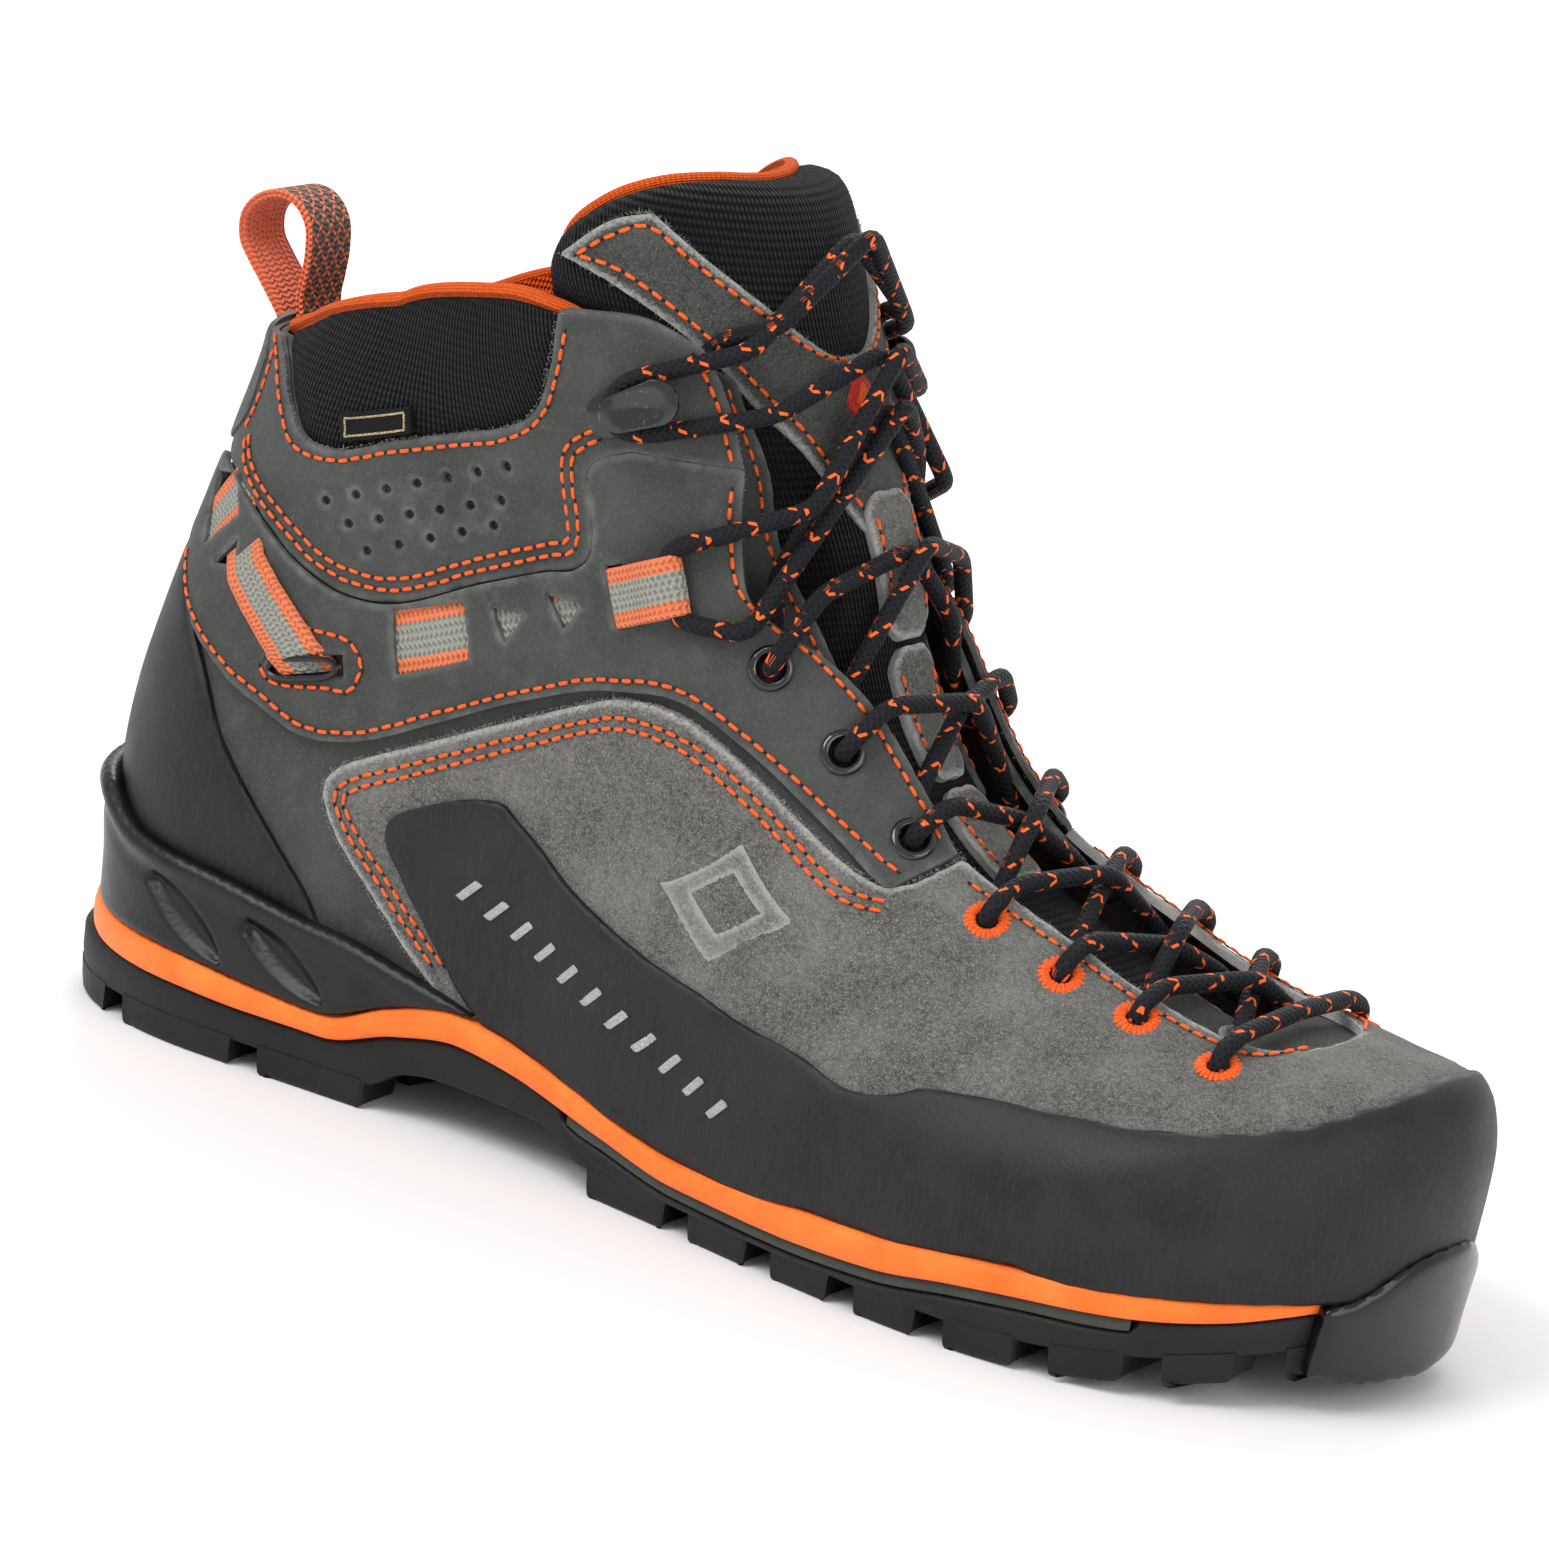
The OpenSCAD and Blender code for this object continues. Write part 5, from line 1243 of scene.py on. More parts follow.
panel("vamp_suede", [vamp] + vamp_eyes, 0.1, 2.0, "suede", step=1.9, round_r=1.0, edge=0.6, lift=vamp_lift,
      level=40, rough=0.22, waves=(24, 0.2), stands_for=("vamp",), slot="suede")
insert = front_loop([(129, 0, 57), (126, -8, 57.5), (119, -15, 57.5), (110, -20, 57)],
                    [(110, -20, 57), (103, -12, 62)], [(103, -12, 62), (105, -6, 62), (106, 0, 62)])
panel("toe_insert_suede", [insert], -2.6, -0.1, "dark_suede", step=1.7, level=20, waves=(12, 0.25),
      stands_for=("toe_insert",), slot="dark_suede")
RAND_TOP = [(141.4, 0, 57), (138.6, -17, 54.4), (130, -31, 50.4), (116, -40, 47), (97, 44.4), (78, 43.4),
            (67, 42.4), (58, 39.2), (50, 38.6), (39, 41.6), (21, 43.8), (1, 48), (-10, 51), (-22, 55.2),
            (-30, 60), (-37, 64)]
rand = front_loop(RAND_TOP, [(-37, 64), (-40, 66), (-47, 65.2), (-57, 61.2), (-63.6, 57.2), (-64.6, 54),
                             (-58, 45), (-46, 32), (-38, 25)], [(-38, 25)] + FOOT_LINE[1:])
panel("rubber_rand", [rand], 2.0, 3.5, "rand_rubber", step=2.0, round_r=1.2, edge=0.35, level=30,
      waves=(60, 0.15), stands_for=("rand",), slot="rand_rubber")
heel = rear_loop([(-134.6, 0, 98), (-132.6, -11, 96.6), (-127.6, -22, 91), (-119, -32, 80), (-111, 70.5),
                  (-100, 55), (-91, 46), (-81, 36), (-74, 26)],
                 [(-74, 26), (-80, 19), (-111, 21), (-130, 22), (-143, 0, 22.4)])
panel("heel_rubber", [heel], 0.1, 1.9, "rand_rubber", step=2.2, edge=0.35, level=60,
      stands_for=("heel_rand",), slot="rand_rubber")
strip = rear_loop([(-122.4, 0, 136.6), (-119.6, -9, 136.6), (-115.6, -17, 136.2), (-113.4, 133)],
                  [(-113.4, 133), (-117, 120), (-123.6, 113.6)],
                  [(-123.6, 113.6), (-128, -12, 112.2), (-129.4, 0, 112)])
panel("back_strip_nubuck", [strip], 1.2, 2.4, "nubuck", step=1.8, level=120, stands_for=("back_strip",),
      slot="nubuck")


def pressed_diamond(side, end):
    """A flat pale diamond pressed into the suede."""
    loops = []
    x, z = DIAMOND
    for a, b in ((14.5, 11), (7.6, 5.8)):
        loops.append(polygon([(x + a, z), (x, z + b), (x - a, z), (x, z - b)], side))
    panel("pressed_diamond_" + end, loops, 1.0, 2.0, "pressed_suede", step=0.9, round_r=0.6, edge=0.6,
          level=68, waves=None, slot="suede")


sides(pressed_diamond)

# ------------------------------------------------------------------ lining, collar, footbed
COLLAR_TOP = [(-125.6, 0, 137.6), (-122, -12, 137.8), (-113, -22, 139), (-105, 143), (-95, 147.8),
              (-76, 154.4), (-59, 159.4), (-45, 160.4), (-36, 158), (-30, 152)]
lining = rear_loop(COLLAR_TOP, [(-30, 152), (-20, 138), (-12, 116), (2, 104), (12, 92), (20, 76), (30, 58)],
                   [(30, 58), (10, 40), (-20, 33), (-60, 32), (-100, 32), (-130, -24, 32), (-143, 0, 32)])
flat, tris, p, n, _ = sheet([lining], 90, 3.0, ())
make_sheet("lining_shell", (flat, tris), p - n * 3.8, p - n * 5.0, "lining", stands_for=("lining",),
           slot="orange_textile")


def collar(side, end):
    loop = outline([(-37.6, 160.4), (-38.2, 150), (-40.8, 140.8), (-49, 133.6), (-62, 129), (-76, 124.4),
                    (-90.4, 119.2), (-99.4, 120.2), (-105.4, 126.8), (-109.2, 133.8), (-112.4, 138.6)],
                   [(-112.4, 138.6), (-104, 142.4), (-95, 147.2), (-76, 153.8), (-59, 158.8), (-48, 160.2),
                    (-37.6, 160.4)], side=side)

    def puff(p, dist):
        return 3.0 * (1 - np.exp(-dist / 6.0)) - 0.3

    pad = panel("collar_pad_" + end, [loop], -3.6, -1.4, "black_mesh", step=1.7, round_r=2.0, level=140,
                lift=puff, waves=(34, 0.35), stands_for=("collar_mesh_" + end, "collar_foam_" + end),
                slot="black_mesh")


sides(collar)
edge_uh = place(COLLAR_TOP, -1, "rear")
edge_uh[0, 0] = 0
edge_uh = smoothed(edge_uh, 12)
ring = np.vstack([edge_uh[::-1], edge_uh[1:] * (-1, 1)])
p, n = surface(ring)
p = p - n * 3.1
m = 12
profile = [(1.7 * math.cos(a), 1.5 * math.sin(a)) for a in np.linspace(0, 2 * math.pi, m, endpoint=False)]
verts = np.stack([p + n * a + np.array([0, 0, 1.0]) * (b + 0.1) for a, b in profile], 1).reshape(-1, 3)
along = run_length(p)
faces = ring_faces(len(p), m)
uv = np.array([[s * 0.1, k * 0.1] for s in along for k in range(m)])
make("collar_piping", verts, faces, "piping", uv=uv, stands_for=("collar_edge",), slot="orange_textile")

label_loop = polygon([(-88, 124), (-71.5, 129.8), (-71.8, 135), (-88.4, 130)])
panel("side_label_blank", [label_loop], 0.7, 1.75, "label", step=1.3, round_r=0.5, level=130, waves=None,
      stands_for=("side_label",), slot="label_black")
border = on(polygon([(-86.8, 125.4), (-73, 130.2), (-73.2, 133.6), (-87, 129)]), 1.78)
make_joined("side_label_border", [tube(np.vstack([border, border[:1]]), 0.22, 6)], "label_edge")

# the footbed: soft, cupped at the heel, higher under the arch
BED_PLAN = [(-132, 0), (-130.6, -9), (-126, -17.6), (-118.6, -24), (-109, -28), (-75, -28.6), (-35, -28.4),
            (5, -33.6), (45, -40), (75, -43), (98, -41.4), (111, -36.4), (122, -29), (130, -19.6),
            (134.6, -9), (136, 0), (134.6, 9), (130, 18), (121, 26.6), (109, 33), (94, 38), (75, 39.8),
            (45, 37.8), (5, 29.2), (-35, 22.8), (-75, 24.4), (-109, 27.6), (-118.6, 24), (-126, 17.6),
            (-130.6, 9)]
BED_LOW = line([(-150, 28.1), (-40, 28.1), (0, 25.7), (20, 23.5), (60, 21.7), (100, 23.6), (140, 26.2)])
bed_loop = spline(BED_PLAN, closed=True, per=12)
flat, tris = fill([bed_loop], 3.2, (0.8, 2.0))
dist = edge_distance(at_height(flat, 0), [at_height(bed_loop, 0)])
low = BED_LOW(flat[:, 0])
cupped = 3.0 * np.exp(-dist / 6) * np.clip((10 - flat[:, 0]) / 60, 0, 1)
arch = 2.4 * np.clip(flat[:, 1] / 30, 0, 1) * np.exp(-((flat[:, 0] + 30) / 34) ** 2)
top = low + 2.3 + cupped + arch - 1.2 * (1 - bulge(dist, 2)) + 0.8 * (1 - np.exp(-dist / 8))
bed = make_sheet("footbed_soft", (flat, tris), at_height(flat, top), at_height(flat, low), "footbed",
                 body="footbed", stands_for=("footbed",), slot="footbed_foam")

# ------------------------------------------------------------------ points near the form
def out_at(x, z, side, d):
    """The point d millimetres out from the form at (x, z) of the side view."""
    def w(a, b):
        return float(half(a, b, side))

    n = unit(np.array([(w(x - 1, z) - w(x + 1, z)) / 2, side, (w(x, z - 1) - w(x, z + 1)) / 2]))
    return np.array([x, side * w(x, z), z]) + d * n


def crest(x):
    """A point of the middle line of the instep."""
    return np.array([x, 0, float(rise(np.array(float(x)))) + np.interp(-x, -FORM[4:, 2], FORM[4:, 0])])


def crest_at(x, d):
    """The point d millimetres out from the middle line of the instep."""
    t = unit(crest(x - 2) - crest(x + 2))
    return crest(x) + d * np.array([t[2], 0, -t[0]])


def instep(x, y, d):
    """A point above the curved instep at any distance y from its middle line."""
    lo, hi = crest(x)[2] - 40, crest(x)[2]
    for _ in range(14):
        middle = (lo + hi) / 2
        lo, hi = (middle, hi) if float(half(x, middle, -1)) > abs(y) else (lo, middle)
    return np.array([x, y, (lo + hi) / 2]) + d * (crest_at(x, 1) - crest_at(x, 0))


# ------------------------------------------------------------------ webbing
def strap_part(points, width, d, side, crown, slant=0):
    """Webbing along side-view points, at the distances d from the form; slant skews its far end."""
    p, n = surface(smooth_run(points, side))
    off = np.interp(np.linspace(0, 1, len(p)), np.linspace(0, 1, len(d)), d)
    q = resample(np.hstack([p + n * off[:, None], n]), 0.8)
    t = unit(np.gradient(q[:, :3], axis=0))
    v, f, w = band(q[:, :3], np.cross(q[:, 3:], t), width, 0.9, crown)
    per = len(v) // len(q)
    share = np.repeat(soft_step(np.linspace(0, 1, len(q)), 0.35, 1), per)
    return v - np.repeat(t, per, axis=0) * ((w[:, 0] - 0.5) * side * slant * share)[:, None], f, w


def lock_strap(side, end):
    parts = [strap_part([(-78, 86.6), (-69.6, 89.6), (-61, 93), (-53, 96.4), (-47, 99), (-36, 103),
                         (-24, 107)], 13.4, [0.6, 0.8, 1.25, 0.8, 0.6, 0.6, 0.6], side, 0.5),
             strap_part([(-108.4, 98.8), (-105, 95), (-101, 91), (-94.6, 85.4), (-91, 82.4), (-87.6, 79.2)],
                        11, [1.2, 3.3, 3.5, 3.6, 3.5, 1.5], side, 0.45, slant=6.7),
             strap_part([(-110.4, 110), (-114, 106.2), (-118.6, 100.6), (-123, 93)], 10.4,
                        [0.5, 0.9, 1.1, 0.6], side, 0.4)]
    make_joined("lock_strap_webbing_" + end, parts, "webbing", stands_for=("lock_strap_" + end,),
                slot="webbing")


def lace_loop(side, end):
    """Webbing that comes out of the overlay, turns round the lace and goes back under itself."""
    path = [(-22.6, 110.1, 0.6), (-20.8, 110.9, 3.0), (-18.6, 111.8, 3.6), (-15.8, 113, 4.8),
            (-13.4, 114, 6.5), (-11, 115, 7.4), (-8.8, 116, 6.7), (-8, 116.3, 5.0), (-8.8, 116, 3.4),
            (-11, 115, 2.95), (-13.6, 113.9, 2.9), (-17, 112.5, 2.9)]
    q = resample(spline([out_at(x, z, side, d) for x, z, d in path], per=10), 0.7)
    n = unit(out_at(-10, 115.4, side, 1) - out_at(-10, 115.4, side, 0))
    t = unit(out_at(-4, 118, side, 0) - out_at(-17, 112.5, side, 0))
    loop = band(q, np.tile(np.cross(t, n), (len(q), 1)), 11.2, 0.8, 0.15)
    make_joined("lace_loop_webbing_" + end, [loop], "webbing", stands_for=("lace_loop_" + end,),
                slot="loop_webbing")


sides(lock_strap)
sides(lace_loop)

# side view of the pull loop from its seam and back, before it leans over the heel
PULL = [(-2.6, -4.5), (-3.4, -0.5), (-4.6, 3.2), (-5.8, 6.8), (-7.0, 10.2), (-8.0, 14.5), (-6.4, 18.8),
        (-2.6, 21.1), (2.6, 21.1), (6.4, 18.6), (8.0, 14.1), (6.6, 8.6), (4.2, 4.0), (2.2, 0.5), (1.2, -4.0)]
lean = math.radians(24)
cos_lean, sin_lean = math.cos(lean), math.sin(lean)
mid = resample(spline([(-124.5 + px * cos_lean - pz * sin_lean, 0, 139 + px * sin_lean + pz * cos_lean)
                       for px, pz in PULL], per=14), 0.8)
across = np.tile((0, 1.0, 0), (len(mid), 1))
t = unit(np.gradient(mid, axis=0))
out = unit(np.cross(t, (0, 1.0, 0)))
if np.sum(out * (mid - mid.mean(0))) < 0:
    out = -out
make_joined("pull_loop_outside", [band(mid + out * 0.42, across, 13, 0.8, 0.12)], "pull_outside",
            body="pull_tab", stands_for=("pull_loop",), slot="orange_textile")
make_joined("pull_loop_inside", [band(mid - out * 0.42, across, 12.8, 0.8, 0.1)], "pull_inside",
            body="pull_tab")
anchor_uh = np.column_stack([np.zeros(24), np.linspace(115, 136, 24)])
q = on(anchor_uh, 2.75)
make_joined("pull_loop_anchor", [band(q, np.tile((0, -1.0, 0), (24, 1)), 13, 0.9, 0.1)], "pull_outside",
            stands_for=("loop_anchor",), slot="orange_textile")

# ------------------------------------------------------------------ tongue
# distance of the knit from the form, before it rises
TONGUE_FACE = -7.9


def tongue_rise(p):
    """How far the padded tongue stands above its thin lower part."""
    free = 1 - soft_step(np.abs(p[:, 1]), 15, 25) * (1 - soft_step(p[:, 2] + 0.25 * p[:, 0], 146, 156))
    return 6.0 * soft_step(p[:, 2], 96, 132) * free


TONGUE_TOP = [(-13, 0, 189.5), (-14, -9, 189.5), (-19.5, -18, 188.4), (-29, -27.5, 185.4),
              (-39.5, -34, 179.4), (-47.6, -36.8, 170.6), (-49, -36, 160)]
tongue = front_loop(TONGUE_TOP, [(-49, -36, 160), (-43, -34, 140), (-30, 120), (-10, 104), (10, -28, 90),
                                 (34, -25, 74), (60, -22, 64), (90, -19, 56), (112, -9, 52)],
                    [(112, -9, 52), (114, 0, 52)])


def tongue_lift(p, dist):
    return tongue_rise(p) * (1 - 0.75 * np.exp(-dist / 4.0))


body = panel("tongue_knit", [tongue], -12.4, TONGUE_FACE, "black_mesh", body="tongue_flap", step=2.2,
             round_r=3.0, edge=0.2, level=120, lift=tongue_lift, waves=(36, 0.15),
             stands_for=("tongue", "tongue_pad"), slot="black_mesh")
back_loop = tongue.copy()
back_loop[:, 0] = 1 + (back_loop[:, 0] - 1) * 0.985
panel("tongue_lining_textile", [back_loop], -13.8, -12.5, "lining", body="tongue_flap", step=3.0, level=120,
      waves=(36, 0.3), stands_for=("tongue_lining",), slot="orange_textile")
rim_uh = smooth_run(TONGUE_TOP, -1, per=12)
rim_uh[0, 0] = 1
rim_path = np.vstack([rim_uh[::-1], rim_uh[1:] * (-1, 1) + (2, 0)])
p = on(rim_path, -12.8) + (0, 0, 0.6)
v, f, w = tube(resample(p, 1.2), 1.4, 10)
make("tongue_piping", v, f, "piping", body="tongue_flap", uv=w * (1, 0.1))


def tongue_cover(name, loop, d0, d1, look, node, slot):
    """A patch sewn on the padded tongue, from d0 to d1 above its knit."""
    flat, tris, p, n, dist = sheet([loop], 130, 1.5)
    high = TONGUE_FACE + 0.15 + tongue_rise(p)
    up = d1 * (0.5 + 0.5 * bulge(dist, 1)) + RNG.uniform(-0.15, 0.15, len(p)) * (dist < 0.8)
    return make_sheet(name, (flat, tris), p + n * (high + up)[:, None], p + n * (high + d0)[:, None], look,
                      dist, body="tongue_flap", stands_for=node, slot=slot)


COVER_TOP = [(1.5, 0, 158.6), (0, -5, 158.2), (-4, -10, 160), (-12, -17.6, 166.4), (-22, -25, 174.4),
             (-30, -28.6, 180.4)]
COVER_CORNER = [(-30, -28.6, 180.4), (-36, -32, 178), (-43.4, -34.8, 170.6)]
COVER_LOW = [(-43.4, -34.8, 170.6), (-34, -31.5, 167), (-22, -26.6, 160), (-11, -20, 150), (-3, -15, 142),
             (4, -11, 134), (10, -7, 127), (13, 0, 124)]
cover = front_loop(COVER_TOP, COVER_CORNER, COVER_LOW)
tongue_cover("tongue_cover_suede", cover, -0.4, 1.0, "tongue_suede", ("tongue_overlay",), "suede")
badge = front_loop([(1.4, 0, 157), (4.4, -5.4, 150.4)], [(4.4, -5.4, 150.4), (6.8, 0, 144)])
tongue_cover("tongue_badge_diamond", badge, 0.7, 1.7, "badge", ("tongue_badge",), "badge_thread")
inner_badge = front_loop([(2.6, 0, 154), (4.4, -3, 150.4)], [(4.4, -3, 150.4), (5.8, 0, 147)])
tongue_cover("tongue_badge_center", inner_badge, 1.2, 2.1, "thread", (), "badge_thread")
KEEPERS = [(22, 9, 110, 134, 7.4), (37, 23, 89, 109, 7.6), (54, 38.5, 74, 87.6, 7.8)]
for k, (x0, x1, z0, z1, w) in enumerate(KEEPERS):
    tab = front_loop([(x1, 0, z1), (x1, -w * 0.55, z1 - 0.2), (x1 + 1.2, -w, z1 - 3)],
                     [(x1 + 1.2, -w, z1 - 3), (x0 - 1.2, -w, z0 + 3)],
                     [(x0 - 1.2, -w, z0 + 3), (x0, -w * 0.55, z0 + 0.2), (x0, 0, z0)])
    tongue_cover("lace_keeper_tab_%d" % (k + 1), tab, -0.4, 2.1, "suede", ("lace_keepers",) if k == 0 else (),
                 "suede")


def side_trim(side, end):
    """The strip along the edge of the tongue."""
    trim = outline([(-19, -32, 157), (-9, -31, 140), (-5, -31.5, 124), (4, -28, 108), (18, -24, 96),
                    (34, -22, 84)], [(34, -22, 84), (37, -15, 84)],
                   [(37, -15, 84), (25, -16.5, 97), (13, -18.5, 111), (5, -22.5, 125), (0, -22, 139),
                    (-8.4, -24.5, 153.6)], [(-8.4, -24.5, 153.6), (-19, -32, 157)], side=side)
    tongue_cover("tongue_side_trim_" + end, trim, -0.4, 1.1, "nubuck", (), "nubuck")


sides(side_trim)
gusset = front_loop([(84, 0, 67), (84, -8, 66)], [(84, -8, 66), (100, -9, 60)],
                    [(100, -9, 60), (108, -7, 57), (110, 0, 57)])
tongue_cover("tongue_base_suede", gusset, -0.3, 1.2, "dark_suede", ("tongue_base",), "dark_suede")


# ------------------------------------------------------------------ lace
HOOK = (-22, 147)


def hook_round(side, a):
    """A point of the lace on its way round a hook, at a degrees."""
    a = math.radians(a)
    return out_at(HOOK[0] + 5.3 * math.cos(a) - 0.5, HOOK[1] + 5.3 * math.sin(a) - 0.3, side, 5.9)


def strand(s0, lift):
    """One end of the lace: over each flap, down its eyelet, back under it and across, then round the hook."""
    out = []
    for i, (x, z, kind) in enumerate(EYELETS):
        s = s0 if i % 2 == 0 else -s0
        w = abs(out_at(x, z, s, 0)[1])
        top = 2.6 if kind else 1.6
        across = 2.6 if i == 6 else 0 if i == 5 else -2.2
        out += [instep(x, s * (w - 5), top + 3.5), out_at(x, z, s, top + 2.7), out_at(x, z, s, -3.7),
                instep(x - 1.5, s * (w - 6), -4.4), instep(x - 3.5, s * 13, across),
                crest_at((x + EYELETS[i + 1][0]) / 2, 1 + lift) if i < 6 else crest_at(4, 4.6 + lift)]
    out += [out_at(4, 109, -s0, 5.4), out_at(-7, 109.6, -s0, 5), out_at(-11, 115.6, -s0, 5),
            out_at(-12.4, 122, -s0, 5.2), out_at(-5, 125.5, -s0, 5.4), instep(3, -s0 * 22, 7),
            crest_at(0, 6 + lift), instep(-6, s0 * 24, 6), hook_round(s0, -60), hook_round(s0, -120),
            hook_round(s0, 180), hook_round(s0, 120), instep(-12, s0 * 26, 6), crest_at(-8, 4 + lift),
            instep(-9, -s0 * 21, 4.5), instep(-13, -s0 * 26, 0.5), out_at(-17, 154, -s0, -3.4),
            out_at(-21, 147, -s0, -3.8)]
    return out


LACE_R = 1.75


def slack(points):
    """A route with its corners rounded, as a cord under light tension takes them."""
    q, reach = resample(points, 0.75), 3
    for _ in range(2):
        padded = np.vstack([q[:1]] * reach + [q] + [q[-1:]] * reach)
        q = np.mean([padded[k:k + len(q)] for k in range(2 * reach + 1)], axis=0)
    return q


route = resample(slack(strand(-1, 0)[::-1] + [crest_at(112, 3.6)] + strand(1, 4)), 0.75)
make_joined("lace_cord", [tube(route, LACE_R)], "lace", stands_for=("lace",), slot="lace_cord")
ends = [tube([out_at(-21 - 3.5 * k, 147 - 6 * k, side, -3.8) for k in (0, 0.5, 1, 1.5, 2)], 1.5)
        for side in (-1, 1)]
make_joined("lace_end_tips", ends, "black_metal", stands_for=("lace_tips",), slot="moulded_plastic")


# ------------------------------------------------------------------ hooks, eyelets, rings
def seat(x, z, side, d, spin=0):
    """Origin and axes of a small part set on the form."""
    n = unit(out_at(x, z, side, 1) - out_at(x, z, side, 0))
    e2 = unit(np.cross((0, 0, 1.0), n))
    e1 = np.cross(e2, n)
    a = math.radians(spin)
    axes = np.array([math.cos(a) * e1 + math.sin(a) * e2, math.cos(a) * e2 - math.sin(a) * e1, n])
    return out_at(x, z, side, d), axes


def seated(local, where):
    """Points of a small part, moved to its seat."""
    origin, axes = where
    return origin + np.asarray(local) @ axes


def lathe(profile, n=32):
    """A closed ring of revolution from (radius, height) points that go round its section."""
    a = np.linspace(0, 2 * np.pi, n, endpoint=False)
    m = len(profile)
    verts = np.array([(r * math.cos(t), r * math.sin(t), h) for t in a for r, h in profile])
    faces = [[i * m + k, ((i + 1) % n) * m + k, ((i + 1) % n) * m + (k + 1) % m, i * m + (k + 1) % m]
             for i in range(n) for k in range(m)]
    return verts, faces


def slab(shape, z0, z1, r, dome=0.0):
    """A plate with rounded edges from a convex outline round its own middle."""
    p = np.asarray(shape, float)
    mid = p.mean(0)
    n = outward(p)
    rings = [(r, z0), (0.3 * r, z0 + 0.3 * r), (0, z0 + r), (0, z1 - r), (0.3 * r, z1 - 0.3 * r), (r, z1)]
    layers = [at_height(p - n * d, z) for d, z in rings]
    for k in (0.6, 0.3, 0.02):
        layers.append(at_height(mid + (layers[5][:, :2] - mid) * k, z1 + dome * (1 - k * k)))
    layers.insert(0, at_height(mid + (layers[0][:, :2] - mid) * 0.02, z0))
    return np.vstack(layers), ring_faces(len(layers), len(p))


def pill(x0, x1, r0, r1):
    """Outline of two round ends joined by straight sides."""
    a = np.linspace(-np.pi / 2, np.pi / 2, 14)
    one = np.column_stack([x1 + r1 * np.cos(a), r1 * np.sin(a)])
    other = np.column_stack([x0 - r0 * np.cos(a), -r0 * np.sin(a)])
    return np.vstack([one, other])


def hook_seat(side):
    """Seat of the lace hook of one side."""
    return seat(*HOOK, side, 2.2, -116 * side)


def hook(side, end):
    where = hook_seat(side)
    parts = [slab(pill(-7, 0, 4.2, 4.2), 0, 1.3, 0.4), slab(pill(-0.65, -0.55, 2.5, 2.5), 1, 5.9, 0.2),
             slab(pill(-3.4, 3.8, 3.7, 4.4), 5.6, 7.2, 0.6, -0.75)]
    make_joined("lace_hook_metal_" + end, [(seated(a, where), b, None) for a, b in parts], "black_metal",
                stands_for=("lace_hook_" + end,), slot="black_metal")


sides(hook)
domes = []
for s in (-1, 1):
    v, f = slab(pill(-6.45, -6.35, 2.2, 2.2), 1.1, 1.7, 0.25, 0.5)
    domes.append((seated(v, hook_seat(s)), f, None))
make_joined("hook_rivet_heads", domes, "rivet", stands_for=("hook_rivets",), slot="rivet_metal")

EYELET = [(2.3, -3.2), (2.9, -3.2), (2.9, 0.1), (4.1, 0.1), (4.25, 0.35), (4.05, 0.7), (3.5, 0.95),
          (2.9, 0.9), (2.45, 0.55), (2.3, 0.1)]
rings, embroidered = [], []
for x, z, kind in EYELETS:
    for s in (-1, 1):
        where = seat(x, z, s, 2.45 if kind else 1.75)
        if kind:
            v, f = lathe(EYELET)
            rings.append((seated(v, where), f, None))
        else:
            v, f = lathe([(2.3, -2.0), (2.8, -2.0), (2.8, -0.1), (3.9, -0.1), (3.8, 0.3), (3.2, 0.5),
                          (2.5, 0.35)], 28)
            embroidered.append((seated(v, where), f, None))
            for k in range(24):
                a = 2 * math.pi * (k + RNG.uniform(-0.15, 0.15)) / 24
                shape = capsule * (1.15 + RNG.uniform(-0.1, 0.15), 0.42, 0.34) + (3.2, 0, 0.42)
                shape[:, 2] -= 0.22 * (capsule[:, 0]) ** 2
                turned = np.column_stack([shape[:, 0] * math.cos(a) - shape[:, 1] * math.sin(a),
                                          shape[:, 0] * math.sin(a) + shape[:, 1] * math.cos(a), shape[:, 2]])
                embroidered.append((seated(turned, where), capsule_faces, None))
make_joined("metal_eyelet_rings", rings, "black_metal", stands_for=("metal_eyelets",), slot="black_metal")
make_joined("stitched_eyelet_rings", embroidered, "thread", stands_for=("stitched_eyelets",),
            slot="orange_thread")


def slot_ring(side, end):
    """The black moulded slot the heel strap dives into."""
    where = seat(-88.6, 79.6, side, 2.9, -15 * side)
    a = np.linspace(0, 2 * np.pi, 40, endpoint=False)
    path = np.column_stack([1.9 * np.cos(a), 8.0 * np.sign(np.sin(a)) * np.abs(np.sin(a)) ** 0.6,
                            np.full(40, 0.45)])
    ring = tube(seated(np.vstack([path, path[:2]]), where), 0.62, 8, ends=False)
    make_joined("slot_ring_moulded_" + end, [ring], "toe_rubber", stands_for=("slot_ring_" + end,),
                slot="moulded_plastic")


sides(slot_ring)

# ------------------------------------------------------------------ raised bars in place of any lettering
bars = []
for k in range(11):
    x, z = -44 + 6.8 * k, 48.5 - 2.12 * k
    bars.append(polygon([(x - 2.6, z - 1.6), (x - 1.0, z - 2.3), (x + 3.0, z + 1.6), (x + 1.4, z + 2.3)]))
panel("rand_bars", bars, 3.2, 3.95, "printed", step=1.2, round_r=0.4, level=30, waves=None)

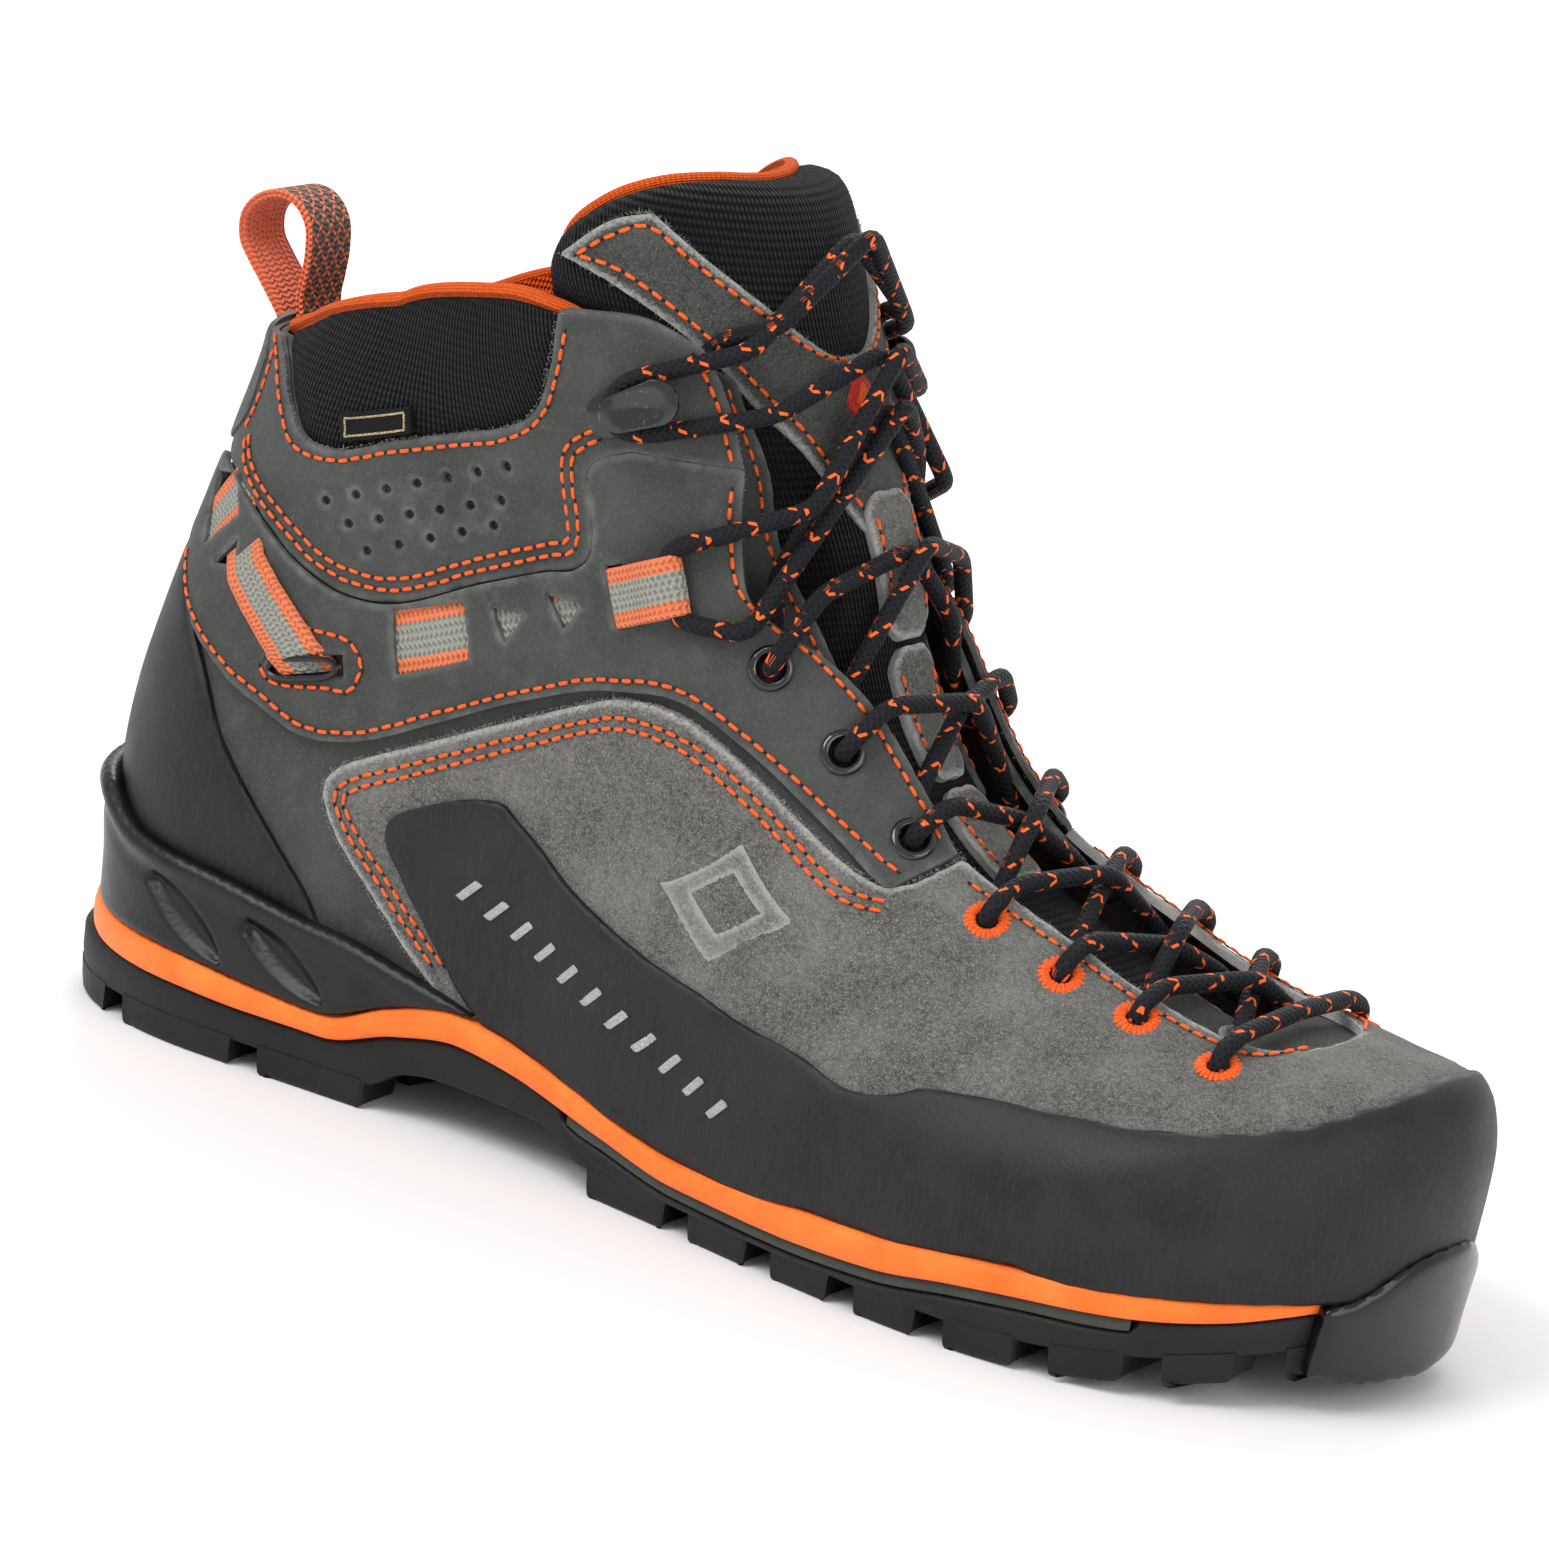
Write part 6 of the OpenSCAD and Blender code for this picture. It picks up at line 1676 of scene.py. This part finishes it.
# ------------------------------------------------------------------ thread
CUFF_ROW = [(-115, 117), (-112.6, 112.6), (-96.4, 103), (-91, 100.2), (-82, 98.4), (-72, 99.2), (-53, 107.8),
            (-38, 114.6), (-32.6, 116.8), (-31.4, 120.2), (-33.6, 129), (-34.2, 134), (-31.4, 137.4),
            (-27, 139.8)]
stitch_line(CUFF_ROW, 1.6)
stitch_line(CUFF_ROW, 1.6, offset=2.1)
stitch_line([(-125.6, 92), (-119, 83.4), (-109.6, 77.2), (-98, 72.4), (-87, 69), (-75, 70.8), (-58, 79),
             (-41, 87.4), (-20, 95.6), (-3, 97), (8, 92), (19, 85.6), (32, 77.6), (42, 72.4)], 2.65)
stitch_line([(-112, 138), (-108.8, 134.2), (-105.2, 127.2), (-99.6, 120.4), (-90, 119.8), (-76, 125),
             (-62, 129.8), (-49.4, 134.2), (-41.2, 141.2), (-39, 150), (-38.4, 159.4)], 1.6)
WING_ROW = [(42, 68.2), (35.4, 68.8), (17.4, 78.8), (3, 86.8), (-4.6, 89.2), (-16, 89.2), (-25, 86),
            (-46, 76), (-68, 65), (-75, 61.2), (-77.2, 58.2), (-75, 53.6), (-64.9, 44.4), (-56.9, 37.4),
            (-48.6, 30.8)]
stitch_line(WING_ROW, 2.2)
stitch_line(WING_ROW, 2.2, offset=2.0)
stitch_line([(-91, 87.4), (-79, 87.2), (-75.8, 83.4), (-77.6, 78.4), (-83, 77.2), (-96, 75.4), (-99.6, 78.6)],
            2.65)
stitch_line([(-116, 118), (-113.2, 125), (-111.4, 133), (-110.6, 137.4)], 1.6)
stitch_line([(-5.8, -28.2, 139), (-11, -28.8, 150), (-15.8, -31, 157.6)], 1.6)
stitch_line([(44, -19.4, 78.6), (38.6, -19, 84.2), (26, -20, 97), (15, -23.6, 106.2), (7, -28.4, 112),
             (1.2, -31, 117.4), (-2.8, -30.4, 127), (-5.2, -28.2, 137)], 2.65)
stitch_line([(120, -9, 55), (112.6, -18.4, 54.8), (105, -19.4, 57), (92, -19.4, 60), (76, -19.4, 64),
             (60, -19.4, 68), (50, -20, 72)], 2.2)


def on_cover(p):
    """Height of the patches on the tongue."""
    return TONGUE_FACE + tongue_rise(p) + 1.15


stitch_line([(-1, -2, 156.6), (-5, -9.6, 158), (-13, -17, 164), (-22.4, -24.4, 171.8), (-30, -28.4, 177.6),
             (-35.6, -31.6, 175.4),
          (-41, -34, 170.4)], on_cover, seams=TONGUE_SEAMS)
stitch_line([(-40, -33.6, 171), (-33, -31, 169.6), (-22, -26, 162.6), (-10.6, -18.6, 152), (-3, -13.6, 144),
             (4, -9.6, 136.4),
          (9.6, -6, 130)], on_cover, seams=TONGUE_SEAMS)
for x0, x1, z0, z1, w in KEEPERS:
    stitch_line([(x1 + 2, -w + 1.9, z1 - 4), (x0 - 2, -w + 1.9, z0 + 4)], lambda p: on_cover(p) + 1.1,
                seams=TONGUE_SEAMS)
stitch_line([(-9.8, -25.6, 152), (-1.6, -23.6, 138), (3.4, -24.2, 124.6), (11.6, -20.2, 110.4),
             (23.6, -18.2, 96.6),
          (34.6, -17, 85)], on_cover, seams=TONGUE_SEAMS)

# ------------------------------------------------------------------ torn suede edges: short pale fibres
FIBRES = {"boot": [], "tongue_flap": []}
SPIKE = ((0, 1, 3), (1, 2, 3), (2, 0, 3), (0, 2, 1))


def fray(points3, normals, away, body, per_mm=5.0, length=1.0):
    """Fibres that stick out of a cut edge; away points out of the leather along its surface."""
    d = run_length(points3)
    for s in RNG.uniform(0, d[-1], int(d[-1] * per_mm)):
        a, n, o = (along_run(s, d, table) for table in (points3, normals, away))
        tip = unit(o * RNG.uniform(0.35, 1) + n * RNG.uniform(-0.1, 0.8) + RNG.normal(size=3) * 0.45)
        root = a + n * RNG.uniform(-0.5, 0.15) - o * RNG.uniform(0.1, 0.7)
        side_v = unit(np.cross(tip, n + RNG.normal(size=3) * 0.2))
        other = np.cross(tip, side_v)
        r = RNG.uniform(0.07, 0.13)
        reach = length * RNG.uniform(0.5, 1.3)
        FIBRES[body].append(np.array([root + side_v * r, root - side_v * r * 0.5 + other * r * 0.87,
                                      root - side_v * r * 0.5 - other * r * 0.87, root + tip * reach]))


def fray_line(points, d, flip, body="boot", **kw):
    """Fibres along an edge on both sides of the boot."""
    for side in (-1, 1):
        p, n = on_seam(points, side, d)
        t = unit(np.gradient(p, axis=0))
        fray(p, n, np.cross(n, t) * flip * (-side), body, **kw)


fray_line(WING, 1.9, 1)
fray_line(SCOOP, 1.35, 1, per_mm=3.0, length=0.7)
fray_line(FLAP_TOP, 1.3, -1, per_mm=3.0, length=0.7)
fray_line(FLAP_EDGE, 1.4, -1, per_mm=2.5, length=0.6)
fray_line(THROAT, 1.8, 1, per_mm=3.0, length=0.7)
for edge in (COVER_TOP + COVER_CORNER[1:], COVER_LOW):
    fray_line(edge, lambda p: TONGUE_FACE + tongue_rise(p) + 0.9, -1, "tongue_flap", per_mm=4.0)
for body, pieces in FIBRES.items():
    verts = np.vstack(pieces)
    faces = [[4 * k + i for i in face] for k in range(len(pieces)) for face in SPIKE]
    make("torn_fibres_" + body, verts, faces, "fibre", body=body, slot="suede", smooth=False)


def sew(name, lists, body):
    """One piece for each colour and body: orange for the stitches, black for the painted shade of their
    holes.
    """
    for color, look in (("orange", "thread"), ("black", "stitch_hole_shade")):
        v, f, _ = join_parts([(piece, capsule_faces, None) for piece in lists[color]])
        make(name + "_" + color, v, f, look, body=body, slot="orange_thread")


sew("seams", SEAMS, "boot")
sew("tongue_seams", TONGUE_SEAMS, "tongue_flap")

# ------------------------------------------------------------------ pieces kept from the solid model
for node in ("insole_board", "heel_counter", "toe_puff"):
    obj = bpy.data.objects.get(node)
    if obj is not None:
        obj.data.materials.clear()
        obj.data.materials.append(LOOKS["board"])

# ------------------------------------------------------------------ floor and light
floor = bpy.data.meshes.new("floor")
floor.from_pydata([(-8, -8, 0), (8, -8, 0), (8, 8, 0), (-8, 8, 0)], [], [(0, 1, 2, 3)])
floor_obj = bpy.data.objects.new("floor", floor)
scene.collection.objects.link(floor_obj)
paper = Shade("pale_floor", 0.9)
floor.materials.append(paper.end(paper.mix(paper.noise(3, 2), (0.9, 0.9, 0.9, 1), (0.88, 0.88, 0.88, 1))))
world = bpy.data.worlds.new("world")
scene.world = world
world.use_nodes = True
world.node_tree.nodes["Background"].inputs[0].default_value = (1, 1, 1, 1)
world.node_tree.nodes["Background"].inputs[1].default_value = 0.75


def lamp(name, where, aim, size, power):
    data = bpy.data.lights.new(name, "AREA")
    data.shape = "RECTANGLE"
    data.size, data.size_y = size
    data.energy = power
    obj = bpy.data.objects.new(name, data)
    scene.collection.objects.link(obj)
    obj.location = where
    obj.rotation_euler = (Vector(aim) - Vector(where)).to_track_quat("-Z", "Y").to_euler()


lamp("key", (-0.5, -1.1, 1.5), (0, 0, 0.08), (1.0, 1.0), 22)
lamp("fill", (1.6, -0.6, 0.7), (0, 0, 0.08), (1.2, 0.9), 9)
lamp("back_light", (-0.6, 1.4, 1.2), (0, 0, 0.1), (1.2, 0.8), 16)
